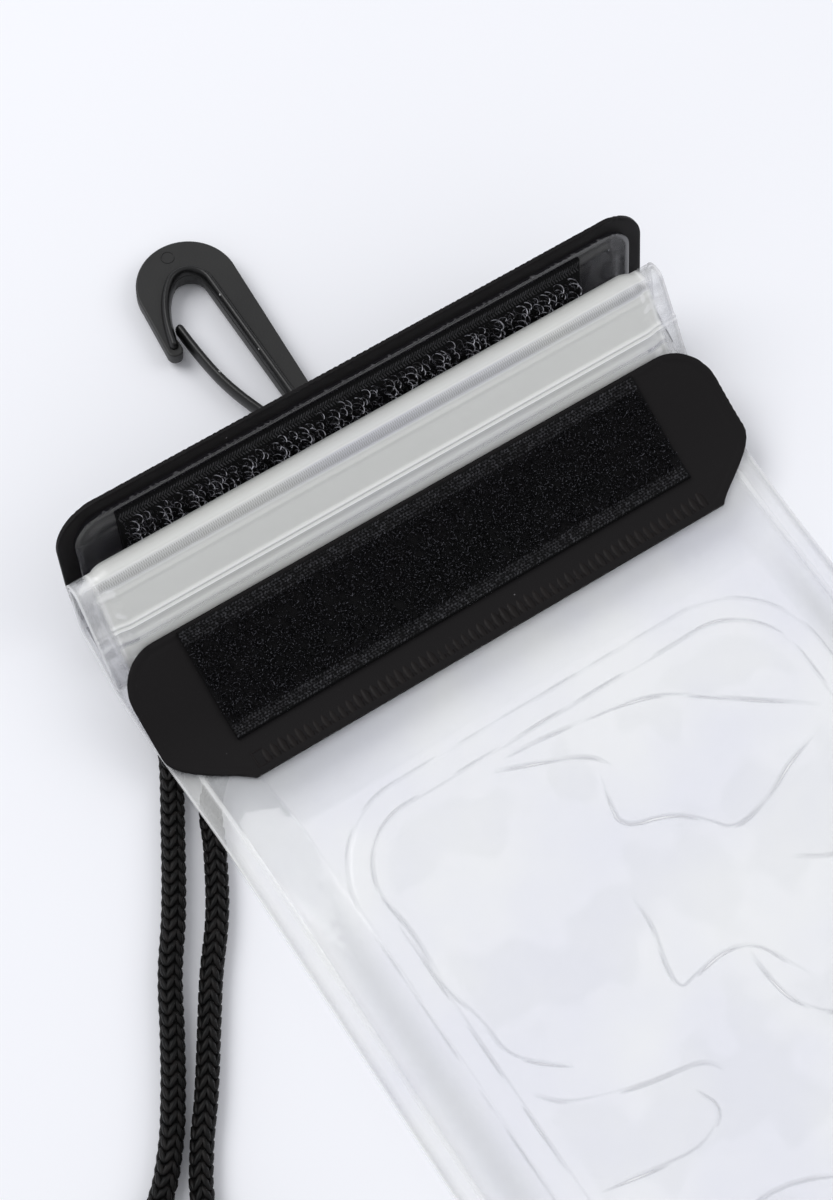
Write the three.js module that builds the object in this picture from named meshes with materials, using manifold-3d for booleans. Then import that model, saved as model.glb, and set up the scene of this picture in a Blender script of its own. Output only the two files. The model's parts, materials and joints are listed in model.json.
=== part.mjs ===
// Waterproof phone pouch with three press zips, two closing flaps and a neck cord on a snap hook.
// Millimetres, +Z up. The pouch lies on its back: +X runs across it and +Y from its closed end to
// its mouth. While it is being built, y = 0 is the line where the front flap is welded on. At the
// end the whole object is moved so that the origin is below the middle of its box, the cord apart.
import * as THREE from 'three';
import { mergeVertices, mergeGeometries } from 'three/addons/utils/BufferGeometryUtils.js';
import Module from 'manifold-3d';

const wasm = await Module();
wasm.setup();

const RAD = Math.PI / 180;

// Films
const POUCH_HALF_WIDTH = 55.6;
const NECK_WIDER = 0.8;
const BODY_LENGTH = 185;
const BODY_CORNER_RADIUS = 11;
const FILM = 0.4;
const SIDE_WELD = 3.4;
const END_WELD = 5;
const WELD_GAP = 0.15;
const BELLY = 1.6;
const FRONT_LEVEL = 8.3;
const SIDE_RISE = 8;
const END_RISE = 14;
const NECK_RISE = 2.2;
const NECK_GAP = 0.75;
const NECK_OPENING = 8;

// The body's far end lies on the table. Its mouth end lies higher, on the cord that runs beneath it.
const MIDDLE_ON_TABLE = BELLY + FILM;
const MOUTH_LIFT_LENGTH = 65;
const MOUTH_LIFT_ANGLE = 3.3 * RAD;
const MOUTH_LIFT_RADIUS = 300;
const PUFF_END = -13;
const PUFF_FALL = 11;
const BELLY_END = -12;
const BELLY_FALL = 28;

// Neck: rises behind the flap's weld, folds over forwards and comes down behind the front flap
const NECK_START = 21.5;
const REAR_RUN = 9.6;
const REAR_ANGLE = 24 * RAD;
const REAR_RADIUS = 6;
const RISER_ANGLE = 47 * RAD;
const RISER_RADIUS = 3;
const RISER_SPARE = 0.6;
const FOLD_ANGLE = 161.3 * RAD;
const FOLD_RADIUS = 2;

// Zips: a rib strip pressed into a groove strip, in three rows
const ZIP_WIDTH = 7.4;
const ZIP_MARGIN = 0.3;
const FOLD_MARGIN = 1.1;
const ZIP_SPACING = 0.9;
const ZIP_BASE = 0.28;
const ZIP_CLEARANCE = 0.12;
const ZIP_END_GAP = 2.6;
const ZIP_HALF_LENGTH = POUCH_HALF_WIDTH - SIDE_WELD - ZIP_END_GAP;
const ZIP_BEAD_AT = 6.2;
const RIB_WIDTH = 0.5;
const RIB_HEIGHT = 0.55;
const GROOVE_WALL = 0.3;

// Weld ring pressed into the front film around the window
const WINDOW_SIDE_MARGIN = 15.4;
const WINDOW_HALF_WIDTH = POUCH_HALF_WIDTH - WINDOW_SIDE_MARGIN;
const WINDOW_TOP = -18.4;
const WINDOW_LENGTH = 148;
const WINDOW_CORNER_RADIUS = 12;
const RING_WIDTH = 4;
const RING_HEIGHT = 0.35;

// Front flap and its loop tape
const FRONT_FLAP = 0.7;
const FRONT_FLAP_OVERHANG = 1.5;
const FRONT_FLAP_HALF_WIDTH = POUCH_HALF_WIDTH + FRONT_FLAP_OVERHANG;
const FRONT_FLAP_SHIFT = 0.6;
const FRONT_FLAP_SPREAD = 11.1;
const FRONT_FLAP_WELD_HALF_WIDTH = FRONT_FLAP_HALF_WIDTH - FRONT_FLAP_SPREAD;
const FRONT_FLAP_LENGTH = 27.6;
const FRONT_FLAP_START = -1.1;
const FRONT_FLAP_WELD = 3;
const FRONT_FLAP_ANGLE = 22.4 * RAD;
const FRONT_FLAP_RADIUS = 30;
const FRONT_FLAP_CORNER = 8;
const FRONT_FLAP_TAPER = 10.5;
const FRONT_FLAP_TAPER_POWER = 1.25;
const TAPE = 0.9;
const TAPE_WIDTH = 20;
const TAPE_END_MARGIN = 12.6;
const TAPE_HALF_LENGTH = FRONT_FLAP_HALF_WIDTH - TAPE_END_MARGIN;
const TAPE_MARGIN = 0.6;

// Back flap, its lining and its hook tape
const BACK_FLAP = 0.8;
const BACK_FLAP_HALF_WIDTH = POUCH_HALF_WIDTH + NECK_WIDER;
const BACK_FLAP_SHIFT = 1.3;
const BACK_FLAP_CORNER = 8;
const BACK_FLAP_AT = 28.4;
const BACK_FLAP_RUN = 9.2;
const BACK_FLAP_ANGLE = 56.9 * RAD;
const BACK_FLAP_RADIUS = 5;
const BACK_FLAP_HEIGHT = 17.4;
const LINING = 0.5;
const LINING_INSET = 2.8;
const HOOK_TAPE_MARGIN = 4;

// Clearance between faces that touch
const TOUCH = 0.1;

// Snap hook, lying flat on the table behind the back flap
const HOOK_MIDDLE = 2.6;
const HOOK_WEB = 2.6;
const HOOK_BEAD = 5.2;
const HOOK_BEAD_WIDTH = 1.9;
const HOOK_HEAD_X = -6.3;
const HOOK_HEAD_Y = 84;
const HOOK_HEAD_RADIUS = 9;
const HOOK_EYE_X = -6.5;
const HOOK_EYE_Y = 82.9;
const HOOK_EYE_RADIUS = 2.95;
const HOOK_EYE_SWEEP = 120 * RAD;
const HOOK_SHOULDER_Y = 81.4;
const HOOK_ARM_FOOT_Y = 54;
const HOOK_ARM_FOOT_X = 0.9;
const HOOK_NOSE_X = -14.9;
const HOOK_NOSE_Y = 74.2;
const HOOK_NOSE_RADIUS = 1.4;
const HOOK_NOSE_LENGTH = 3.4;
const HOOK_GATE_WIDTH = 1.7;
const HOOK_GATE_DEPTH = 3.4;
const HOOK_GATE_ROUTE = [[-6.9, 52], [-9.6, 59.4], [-11.1, 65.5], [-11.7, 72], [-11.9, 78.4]];
const HOOK_BASE_FROM_Y = 46;
const SOCKET_FROM_Y = 37.3;
const SOCKET_HALF_WIDTH = 5.6;
const SOCKET_HEIGHT = 6;
const SOCKET_X = -5;

// Neck cord: one loop, both of its ends in the hook's socket
const CORD_DIAMETER = 4;
const CORD_SIDES = 10;
const CORD_STEP = 9;
const CORD_GAP = 0.3;
const COIL_MEAN_DIAMETER = 44;
const COIL_TURNS_WIDE = 2;
const COIL_TURNS_HIGH = 2;
const COIL_X = -116.5;
const COIL_Y = -88;

// Route of the cord's two strands, chosen by hand: from the socket, under the pouch, to the coil
const STRAND_OUT = [
  [-7.5, 37, 3.0], [-7.6, 33, 2.7], [-9.5, 27.5, 2.1], [-16, 23.5, 2], [-27, 22, 2], [-38, 21.5, 2], [-47.5, 19, 2],
  [-52.4, 14, 2], [-55.7, 8.1, 2], [-59.8, 1, 2], [-67.8, -12.4, 2], [-73.5, -20.8, 2], [-78.1, -29, 2],
  [-82.8, -37, 2], [-88.1, -44.8, 2], [-94, -50.9, 2], [-101.5, -54.9, 2], [-108.5, -57.7, 2], [-113.8, -59.2, 2],
];
const STRAND_BACK = [
  [-2.5, 37, 3.0], [-2.6, 32, 2.6], [-4.6, 25, 2], [-10.5, 18.5, 2], [-20, 14.6, 2], [-32, 11.8, 2], [-44, 7.5, 2],
  [-52.6, 1, 2], [-56.6, -6.6, 2], [-62, -16, 2], [-68.1, -24.2, 2], [-73.4, -32.1, 2], [-78.7, -40, 2],
  [-84.2, -47.6, 2], [-88, -54.5, 2.3], [-89.2, -62, 3.4], [-88.7, -70, 4.8], [-87.9, -79, 6],
];

// A path in the y-z plane, walked as straight lines and round turns. A left turn is positive.
function walkPath(y, z, heading, steps) {
  const pieces = [];
  let length = 0;
  for (const step of steps) {
    const run = step.line !== undefined ? step.line : Math.abs(step.turn) * step.radius;
    pieces.push({ ...step, run, from: length, y, z, heading });
    const end = pointOnPiece(pieces[pieces.length - 1], run);
    ({ y, z, heading } = end);
    length += run;
  }
  const at = (s) => {
    const piece = pieces.findLast((candidate) => candidate.from <= s) ?? pieces[0];
    return pointOnPiece(piece, s - piece.from);
  };
  return { pieces, length, at };
}

function pointOnPiece(piece, along) {
  if (piece.line !== undefined) {
    const y = piece.y + along * Math.cos(piece.heading);
    const z = piece.z + along * Math.sin(piece.heading);
    return { y, z, heading: piece.heading };
  }
  const side = Math.sign(piece.turn);
  const heading = piece.heading + side * along / piece.radius;
  const y = piece.y + side * piece.radius * (Math.sin(heading) - Math.sin(piece.heading));
  const z = piece.z - side * piece.radius * (Math.cos(heading) - Math.cos(piece.heading));
  return { y, z, heading };
}

// Places along a path where a sheet gets a row of points: ends of pieces, steps of 14 degrees round
// the turns, and steps of `longest` along the lines
function rowsAlong(path, from, to, longest) {
  const rows = new Set([from, to]);
  for (const piece of path.pieces) {
    const count = Math.max(1, piece.line !== undefined
      ? Math.ceil(piece.run / longest) : Math.ceil(Math.abs(piece.turn) / (14 * RAD)));
    for (let i = 0; i <= count; i += 1) {
      rows.add(piece.from + piece.run * i / count);
    }
  }
  return sortedRows(rows, from, to);
}

function sortedRows(rows, from, to) {
  const inside = [...rows].filter((s) => s >= from && s <= to).sort((a, b) => a - b);
  return inside.filter((s, i) => i === 0 || s - inside[i - 1] > 0.05);
}

// Half width of a sheet with round corners of `radius`, `distance` from its end
function roundedHalfWidth(halfWidth, radius, distance) {
  if (distance >= radius) {
    return halfWidth;
  }
  const d = Math.max(0, radius - distance);
  return halfWidth - radius + Math.sqrt(Math.max(0, radius * radius - d * d));
}

const smooth = (t) => {
  const u = Math.min(1, Math.max(0, t));
  return u * u * (3 - 2 * u);
};

// A closed sheet: rows along the path, columns across, between a lower and an upper offset
function sheet(path, rows, columns, halfWidth, lower, upper) {
  const positions = [];
  const layer = (offset) => {
    for (const s of rows) {
      const p = path.at(s);
      for (const column of columns) {
        const x = column * halfWidth(s);
        const rise = offset(s, x);
        positions.push(x, p.y - rise * Math.sin(p.heading), p.z + rise * Math.cos(p.heading));
      }
    }
  };
  layer(lower);
  layer(upper);
  const across = columns.length;
  const top = rows.length * across;
  const index = [];
  const quad = (a, b, c, d) => index.push(a, b, c, a, c, d);
  for (let i = 0; i < rows.length - 1; i += 1) {
    for (let j = 0; j < across - 1; j += 1) {
      const a = i * across + j;
      quad(a, a + across, a + across + 1, a + 1);
      quad(top + a, top + a + 1, top + a + across + 1, top + a + across);
    }
    const left = i * across;
    const right = left + across - 1;
    quad(left, top + left, top + left + across, left + across);
    quad(right, right + across, top + right + across, top + right);
  }
  for (let j = 0; j < across - 1; j += 1) {
    const last = (rows.length - 1) * across + j;
    quad(j, j + 1, top + j + 1, top + j);
    quad(last, top + last, top + last + 1, last + 1);
  }
  const geometry = new THREE.BufferGeometry();
  geometry.setAttribute('position', new THREE.Float32BufferAttribute(positions, 3));
  geometry.setIndex(index);
  return geometry;
}

// A solid of constant section across the pouch. The section's points are (along, offset) from a
// place on a straight stretch of the path.
function barAcross(path, from, outline, halfLength) {
  const place = path.at(from);
  const shape = new THREE.Shape(outline.map(([along, offset]) => {
    const y = place.y + along * Math.cos(place.heading) - offset * Math.sin(place.heading);
    const z = place.z + along * Math.sin(place.heading) + offset * Math.cos(place.heading);
    return new THREE.Vector2(y, z);
  }));
  const geometry = new THREE.ExtrudeGeometry(shape, { depth: 2 * halfLength, bevelEnabled: false });
  geometry.applyMatrix4(new THREE.Matrix4().makeBasis(
    new THREE.Vector3(0, 1, 0), new THREE.Vector3(0, 0, 1), new THREE.Vector3(1, 0, 0)));
  geometry.translate(-halfLength, 0, 0);
  return geometry;
}

function toSolid(geometry) {
  const bare = geometry.clone();
  bare.deleteAttribute('normal');
  bare.deleteAttribute('uv');
  const merged = mergeVertices(bare, 1e-4);
  return new wasm.Manifold(new wasm.Mesh({
    numProp: 3,
    vertProperties: new Float32Array(merged.attributes.position.array),
    triVerts: new Uint32Array(merged.index.array),
  }));
}

function toGeometry(solid) {
  const mesh = solid.getMesh();
  const geometry = new THREE.BufferGeometry();
  geometry.setAttribute('position', new THREE.BufferAttribute(new Float32Array(mesh.vertProperties), 3));
  geometry.setIndex(new THREE.BufferAttribute(new Uint32Array(mesh.triVerts), 1));
  return geometry;
}

// Middle surface of the pouch, from the closed end to the mouth's lip
const liftArc = MOUTH_LIFT_ANGLE * MOUTH_LIFT_RADIUS;
const liftLine = MOUTH_LIFT_LENGTH - 2 * liftArc;
const lastLevel = NECK_START - BELLY_END;
const firstLevel = BODY_LENGTH + BELLY_END - MOUTH_LIFT_LENGTH;
const foldedRun = FOLD_MARGIN + 2 * ZIP_WIDTH + ZIP_SPACING + ZIP_MARGIN;
const pouchPath = walkPath(-BODY_LENGTH, MIDDLE_ON_TABLE, 0, [
  { line: firstLevel },
  { turn: MOUTH_LIFT_ANGLE, radius: MOUTH_LIFT_RADIUS },
  { line: liftLine },
  { turn: -MOUTH_LIFT_ANGLE, radius: MOUTH_LIFT_RADIUS },
  { line: lastLevel },
  { turn: REAR_ANGLE, radius: REAR_RADIUS },
  { line: REAR_RUN },
  { turn: RISER_ANGLE, radius: RISER_RADIUS },
  { line: ZIP_WIDTH + 2 * ZIP_MARGIN + RISER_SPARE },
  { turn: FOLD_ANGLE, radius: FOLD_RADIUS },
  { line: foldedRun },
]);
const [, , , , , , rearPiece, , riserPiece, , foldedPiece] = pouchPath.pieces;

// How far each film stands from the middle surface
const fromSideWeld = (x) => POUCH_HALF_WIDTH - SIDE_WELD - Math.abs(x);
const sideRise = (s, x) => {
  const inNeck = smooth((s - BODY_LENGTH - PUFF_END - PUFF_FALL) / PUFF_FALL);
  const width = SIDE_RISE + (NECK_RISE - SIDE_RISE) * inNeck;
  return Math.sin(Math.PI / 2 * Math.min(1, Math.max(0, fromSideWeld(x) / width)));
};
const endRise = (s) => Math.sin(Math.PI / 2 * Math.min(1, Math.max(0, (s - END_WELD) / END_RISE)));
const openNeck = (s) => WELD_GAP + (NECK_GAP - WELD_GAP) * smooth((s - rearPiece.from) / NECK_OPENING);
const frontGap = (s, x) => {
  const full = FRONT_LEVEL - FILM - pouchPath.at(Math.min(s, BODY_LENGTH)).z;
  const puffed = endRise(s) * (1 - smooth((s - BODY_LENGTH - PUFF_END) / PUFF_FALL));
  const middle = openNeck(s) + (full - openNeck(s)) * puffed;
  return WELD_GAP + (middle - WELD_GAP) * sideRise(s, x);
};
const backGap = (s, x) => {
  const puffed = endRise(s) * smooth((BODY_LENGTH + BELLY_END - s) / BELLY_FALL);
  const middle = openNeck(s) + (BELLY - openNeck(s)) * puffed;
  return WELD_GAP + (middle - WELD_GAP) * sideRise(s, x);
};

// Places across the films: both edges of the weld, the shoulder, and the flat middle
function filmColumns() {
  const weldEdge = POUCH_HALF_WIDTH - SIDE_WELD;
  const side = [POUCH_HALF_WIDTH, weldEdge, weldEdge - NECK_RISE / 2, weldEdge - NECK_RISE,
    weldEdge - SIDE_RISE * 0.5, weldEdge - SIDE_RISE * 0.75, weldEdge - SIDE_RISE, WINDOW_HALF_WIDTH * 0.62,
    WINDOW_HALF_WIDTH * 0.3];
  return [...side.map((x) => -x), 0, ...side.reverse()].map((x) => x / POUCH_HALF_WIDTH);
}

function filmRows() {
  const rows = new Set(rowsAlong(pouchPath, 0, pouchPath.length, 26));
  for (const part of [0.1, 0.3, 0.6, 1]) {
    rows.add(BODY_CORNER_RADIUS * part);
  }
  for (let i = 0; i <= 4; i += 1) {
    rows.add(END_WELD + END_RISE * i / 4);
    rows.add(BODY_LENGTH + PUFF_END + PUFF_FALL * i / 4);
    rows.add(BODY_LENGTH + BELLY_END - BELLY_FALL * i / 4);
  }
  return sortedRows(rows, 0, pouchPath.length);
}

// The puffed body is drawn in a little, so the flat neck is wider
const neckExtra = (s) => NECK_WIDER * smooth((s - BODY_LENGTH - PUFF_END) / (NECK_START - PUFF_END));
const filmHalfWidth = (s) => roundedHalfWidth(POUCH_HALF_WIDTH, BODY_CORNER_RADIUS, s) + neckExtra(s);

function backFilm() {
  const lower = (s, x) => -backGap(s, x) - FILM;
  const upper = (s, x) => -backGap(s, x);
  return sheet(pouchPath, filmRows(), filmColumns(), filmHalfWidth, lower, upper);
}

function roundedRectangle(halfWidth, low, high, radius) {
  const shape = new THREE.Shape();
  shape.moveTo(-halfWidth + radius, low);
  shape.lineTo(halfWidth - radius, low);
  shape.absarc(halfWidth - radius, low + radius, radius, -Math.PI / 2, 0, false);
  shape.lineTo(halfWidth, high - radius);
  shape.absarc(halfWidth - radius, high - radius, radius, 0, Math.PI / 2, false);
  shape.lineTo(-halfWidth + radius, high);
  shape.absarc(-halfWidth + radius, high - radius, radius, Math.PI / 2, Math.PI, false);
  shape.lineTo(-halfWidth, low + radius);
  shape.absarc(-halfWidth + radius, low + radius, radius, Math.PI, 1.5 * Math.PI, false);
  return shape;
}

function frontFilm() {
  const lower = (s, x) => frontGap(s, x);
  const upper = (s, x) => frontGap(s, x) + FILM;
  const film = sheet(pouchPath, filmRows(), filmColumns(), filmHalfWidth, lower, upper);
  const low = WINDOW_TOP - WINDOW_LENGTH;
  const ring = roundedRectangle(WINDOW_HALF_WIDTH + RING_WIDTH, low - RING_WIDTH, WINDOW_TOP + RING_WIDTH,
    WINDOW_CORNER_RADIUS + RING_WIDTH);
  ring.holes.push(roundedRectangle(WINDOW_HALF_WIDTH, low, WINDOW_TOP, WINDOW_CORNER_RADIUS));
  const bead = new THREE.ExtrudeGeometry(ring, {
    depth: FILM / 2 + RING_HEIGHT, bevelEnabled: false, curveSegments: 5,
  });
  bead.translate(0, 0, FRONT_LEVEL - FILM / 2);
  return toGeometry(toSolid(film).add(toSolid(bead)));
}

// Each zip has two strips: one with a rib on the back film's side, one with a groove on the front's
function ribStrip(from) {
  const face = -NECK_GAP + ZIP_CLEARANCE;
  const half = RIB_WIDTH / 2;
  return barAcross(pouchPath, from, [[0, face], [ZIP_WIDTH, face], [ZIP_WIDTH, face + ZIP_BASE],
    [ZIP_BEAD_AT + half, face + ZIP_BASE], [ZIP_BEAD_AT + half, face + ZIP_BASE + RIB_HEIGHT],
    [ZIP_BEAD_AT - half, face + ZIP_BASE + RIB_HEIGHT], [ZIP_BEAD_AT - half, face + ZIP_BASE],
    [0, face + ZIP_BASE]], ZIP_HALF_LENGTH);
}

function grooveStrip(from) {
  const face = NECK_GAP - ZIP_CLEARANCE;
  const inner = RIB_WIDTH / 2 + ZIP_CLEARANCE;
  const outer = inner + GROOVE_WALL;
  const depth = RIB_HEIGHT - ZIP_CLEARANCE;
  const root = face - ZIP_BASE;
  return barAcross(pouchPath, from, [[0, root], [ZIP_BEAD_AT - outer, root],
    [ZIP_BEAD_AT - outer, root - depth], [ZIP_BEAD_AT - inner, root - depth], [ZIP_BEAD_AT - inner, root],
    [ZIP_BEAD_AT + inner, root], [ZIP_BEAD_AT + inner, root - depth], [ZIP_BEAD_AT + outer, root - depth],
    [ZIP_BEAD_AT + outer, root], [ZIP_WIDTH, root], [ZIP_WIDTH, face], [0, face]], ZIP_HALF_LENGTH);
}

// Front flap, from its weld on the front film up to its free edge
const frontFlapFoot = pouchPath.at(BODY_LENGTH + FRONT_FLAP_START);
const frontFlapZ = frontFlapFoot.z + frontGap(BODY_LENGTH + FRONT_FLAP_START, 0) + FILM + TOUCH;
const frontFlapArc = FRONT_FLAP_ANGLE * FRONT_FLAP_RADIUS;
const frontFlapPath = walkPath(FRONT_FLAP_START, frontFlapZ, 0, [
  { line: FRONT_FLAP_WELD },
  { turn: FRONT_FLAP_ANGLE, radius: FRONT_FLAP_RADIUS },
  { line: FRONT_FLAP_LENGTH - FRONT_FLAP_WELD - frontFlapArc },
]);

function frontFlapHalfWidth(s) {
  const taper = Math.sin(Math.PI / 2 * Math.min(1, s / FRONT_FLAP_TAPER)) ** FRONT_FLAP_TAPER_POWER;
  const widest = FRONT_FLAP_WELD_HALF_WIDTH + FRONT_FLAP_SPREAD * taper;
  return roundedHalfWidth(widest, FRONT_FLAP_CORNER, FRONT_FLAP_LENGTH - s);
}

// Rows that a flap shares with the layers on it, so that their facets lie parallel
function flapRows(path, corners, layerEnds) {
  const rows = new Set([...rowsAlong(path, 0, path.length, 4), ...layerEnds]);
  for (const [end, radius] of corners) {
    for (const part of [0, 0.04, 0.15, 0.35, 0.6, 1]) {
      rows.add(end - radius * part);
    }
  }
  return sortedRows(rows, 0, path.length);
}

const between = (rows, from, to) => rows.filter((s) => s >= from - 0.06 && s <= to + 0.06);

const FLAP_COLUMNS = [-1, -0.92, -0.5, 0, 0.5, 0.92, 1];

const loopTapeTop = frontFlapPath.length - TAPE_MARGIN;
const frontFlapRows = flapRows(frontFlapPath, [[frontFlapPath.length, FRONT_FLAP_CORNER]],
  [loopTapeTop, loopTapeTop - TAPE_WIDTH]);

function frontFlap() {
  return sheet(frontFlapPath, frontFlapRows, FLAP_COLUMNS, frontFlapHalfWidth, () => 0, () => FRONT_FLAP)
    .translate(FRONT_FLAP_SHIFT, 0, 0);
}

function loopTape() {
  const rows = between(frontFlapRows, loopTapeTop - TAPE_WIDTH, loopTapeTop);
  const low = FRONT_FLAP + TOUCH;
  return sheet(frontFlapPath, rows, [-1, 0, 1], () => TAPE_HALF_LENGTH, () => low, () => low + TAPE);
}

// Back flap, from its weld under the neck's rear run up to its free edge
const backFlapPlace = rearPiece.from + (BACK_FLAP_AT - rearPiece.y) / Math.cos(rearPiece.heading);
const backFlapFoot = pouchPath.at(backFlapPlace);
const backFlapDrop = NECK_GAP + FILM + TOUCH + LINING + TOUCH;
const backFlapPath = walkPath(
  backFlapFoot.y + backFlapDrop * Math.sin(backFlapFoot.heading),
  backFlapFoot.z - backFlapDrop * Math.cos(backFlapFoot.heading),
  backFlapFoot.heading,
  [
    { line: BACK_FLAP_RUN },
    { turn: BACK_FLAP_ANGLE, radius: BACK_FLAP_RADIUS },
    { line: BACK_FLAP_HEIGHT },
  ],
);

const backFlapHalfWidth = (s) => roundedHalfWidth(BACK_FLAP_HALF_WIDTH, BACK_FLAP_CORNER, backFlapPath.length - s);

const liningTop = backFlapPath.length - LINING_INSET;
const liningCorner = BACK_FLAP_CORNER - LINING_INSET;
const hookTapeTop = backFlapPath.length - HOOK_TAPE_MARGIN;
const backFlapRows = flapRows(backFlapPath,
  [[backFlapPath.length, BACK_FLAP_CORNER], [liningTop, liningCorner]], [hookTapeTop, hookTapeTop - TAPE_WIDTH]);

function backFlap() {
  return sheet(backFlapPath, backFlapRows, FLAP_COLUMNS, backFlapHalfWidth, () => -BACK_FLAP, () => 0)
    .translate(BACK_FLAP_SHIFT, 0, 0);
}

function backFlapLining() {
  const halfWidth = (s) => roundedHalfWidth(BACK_FLAP_HALF_WIDTH - LINING_INSET, liningCorner, liningTop - s);
  const rows = between(backFlapRows, 0, liningTop);
  return sheet(backFlapPath, rows, FLAP_COLUMNS, halfWidth, () => TOUCH, () => TOUCH + LINING)
    .translate(BACK_FLAP_SHIFT, 0, 0);
}

function hookTape() {
  const rows = between(backFlapRows, hookTapeTop - TAPE_WIDTH, hookTapeTop);
  const low = LINING + 2 * TOUCH;
  return sheet(backFlapPath, rows, [-1, 0, 1], () => TAPE_HALF_LENGTH, () => low, () => low + TAPE);
}

// Snap hook: a flat moulded hook with a bead round its eye, a springy gate and a cord socket
function hookInnerEdge(grow) {
  const eye = HOOK_EYE_RADIUS + grow;
  const noseInner = HOOK_NOSE_X + HOOK_NOSE_RADIUS - grow;
  return { eye, noseInner, armInner: HOOK_EYE_X + eye };
}

const eyeStart = (radius) => [
  HOOK_EYE_X + radius * Math.cos(HOOK_EYE_SWEEP), HOOK_EYE_Y + radius * Math.sin(HOOK_EYE_SWEEP)];

function hookOutline(armOuterFoot, armInner, eye, noseInner) {
  const shape = new THREE.Shape();
  shape.moveTo(armOuterFoot, HOOK_ARM_FOOT_Y);
  shape.lineTo(HOOK_HEAD_X + HOOK_HEAD_RADIUS, HOOK_HEAD_Y);
  shape.absarc(HOOK_HEAD_X, HOOK_HEAD_Y, HOOK_HEAD_RADIUS, 0, Math.PI, false);
  shape.lineTo(HOOK_NOSE_X - HOOK_NOSE_RADIUS, HOOK_NOSE_Y);
  shape.absarc(HOOK_NOSE_X, HOOK_NOSE_Y, HOOK_NOSE_RADIUS, Math.PI, 2 * Math.PI, false);
  shape.lineTo(noseInner, HOOK_NOSE_Y + HOOK_NOSE_LENGTH);
  shape.quadraticCurveTo(noseInner, HOOK_SHOULDER_Y, ...eyeStart(eye));
  shape.absarc(HOOK_EYE_X, HOOK_EYE_Y, eye, HOOK_EYE_SWEEP, 0, true);
  shape.lineTo(armInner, HOOK_ARM_FOOT_Y);
  return shape;
}

function plate(shape, thickness, middle) {
  const geometry = new THREE.ExtrudeGeometry(shape, { depth: thickness, bevelEnabled: false, curveSegments: 8 });
  geometry.translate(0, 0, middle - thickness / 2);
  return toSolid(geometry);
}

function polyPlate(points, thickness, middle) {
  return plate(new THREE.Shape(points.map(([x, y]) => new THREE.Vector2(x, y))), thickness, middle);
}

function hookBeadShape() {
  const inner = hookInnerEdge(0);
  const outer = hookInnerEdge(HOOK_BEAD_WIDTH);
  const shape = new THREE.Shape();
  shape.moveTo(outer.armInner, HOOK_ARM_FOOT_Y);
  shape.absarc(HOOK_EYE_X, HOOK_EYE_Y, outer.eye, 0, HOOK_EYE_SWEEP, false);
  shape.quadraticCurveTo(HOOK_NOSE_X, HOOK_EYE_Y, HOOK_NOSE_X - HOOK_NOSE_RADIUS * 0.8, HOOK_NOSE_Y);
  shape.lineTo(inner.noseInner, HOOK_NOSE_Y);
  shape.lineTo(inner.noseInner, HOOK_NOSE_Y + HOOK_NOSE_LENGTH);
  shape.quadraticCurveTo(inner.noseInner, HOOK_SHOULDER_Y, ...eyeStart(inner.eye));
  shape.absarc(HOOK_EYE_X, HOOK_EYE_Y, inner.eye, HOOK_EYE_SWEEP, 0, true);
  shape.lineTo(inner.armInner, HOOK_ARM_FOOT_Y);
  return shape;
}

function gateShape() {
  const half = HOOK_GATE_WIDTH / 2;
  const middle = new THREE.CatmullRomCurve3(HOOK_GATE_ROUTE.map(([x, y]) => new THREE.Vector3(x, y, 0)));
  const left = [];
  const right = [];
  for (let i = 0; i <= 12; i += 1) {
    const point = middle.getPoint(i / 12);
    const tangent = middle.getTangent(i / 12);
    left.push(new THREE.Vector2(point.x - tangent.y * half, point.y + tangent.x * half));
    right.push(new THREE.Vector2(point.x + tangent.y * half, point.y - tangent.x * half));
  }
  return new THREE.Shape([...right, ...left.reverse()]);
}

function snapHook() {
  const inner = hookInnerEdge(0);
  const web = plate(hookOutline(HOOK_ARM_FOOT_X, inner.armInner, inner.eye, inner.noseInner), HOOK_WEB, HOOK_MIDDLE);
  const bead = plate(hookBeadShape(), HOOK_BEAD, HOOK_MIDDLE);
  const gate = plate(gateShape(), HOOK_GATE_DEPTH, HOOK_MIDDLE);
  const foot = HOOK_ARM_FOOT_Y + 2;
  const base = polyPlate([[SOCKET_X - SOCKET_HALF_WIDTH, HOOK_BASE_FROM_Y],
    [SOCKET_X + SOCKET_HALF_WIDTH, HOOK_BASE_FROM_Y], [HOOK_ARM_FOOT_X, foot], [-9.9, foot]],
  HOOK_BEAD, HOOK_MIDDLE);
  const socket = polyPlate([[SOCKET_X - SOCKET_HALF_WIDTH, SOCKET_FROM_Y],
    [SOCKET_X + SOCKET_HALF_WIDTH, SOCKET_FROM_Y], [SOCKET_X + SOCKET_HALF_WIDTH, HOOK_BASE_FROM_Y + 1],
    [SOCKET_X - SOCKET_HALF_WIDTH, HOOK_BASE_FROM_Y + 1]], SOCKET_HEIGHT, SOCKET_HEIGHT / 2);
  return toGeometry(web.add(bead).add(gate).add(base).add(socket));
}

// Cord: two tubes along the free strands and one ring round the coil's turns
function cordTube(points) {
  const route = new THREE.CatmullRomCurve3(points.map((point) => new THREE.Vector3(...point)), false, 'centripetal');
  const section = new THREE.Shape();
  for (let i = 0; i < CORD_SIDES; i += 1) {
    const angle = 2 * Math.PI * (i + 0.5) / CORD_SIDES;
    const x = CORD_DIAMETER / 2 * Math.cos(angle);
    const y = CORD_DIAMETER / 2 * Math.sin(angle);
    if (i === 0) {
      section.moveTo(x, y);
    } else {
      section.lineTo(x, y);
    }
  }
  section.closePath();
  const steps = Math.ceil(route.getLength() / CORD_STEP);
  return new THREE.ExtrudeGeometry(section, { steps, extrudePath: route, bevelEnabled: false });
}

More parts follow.
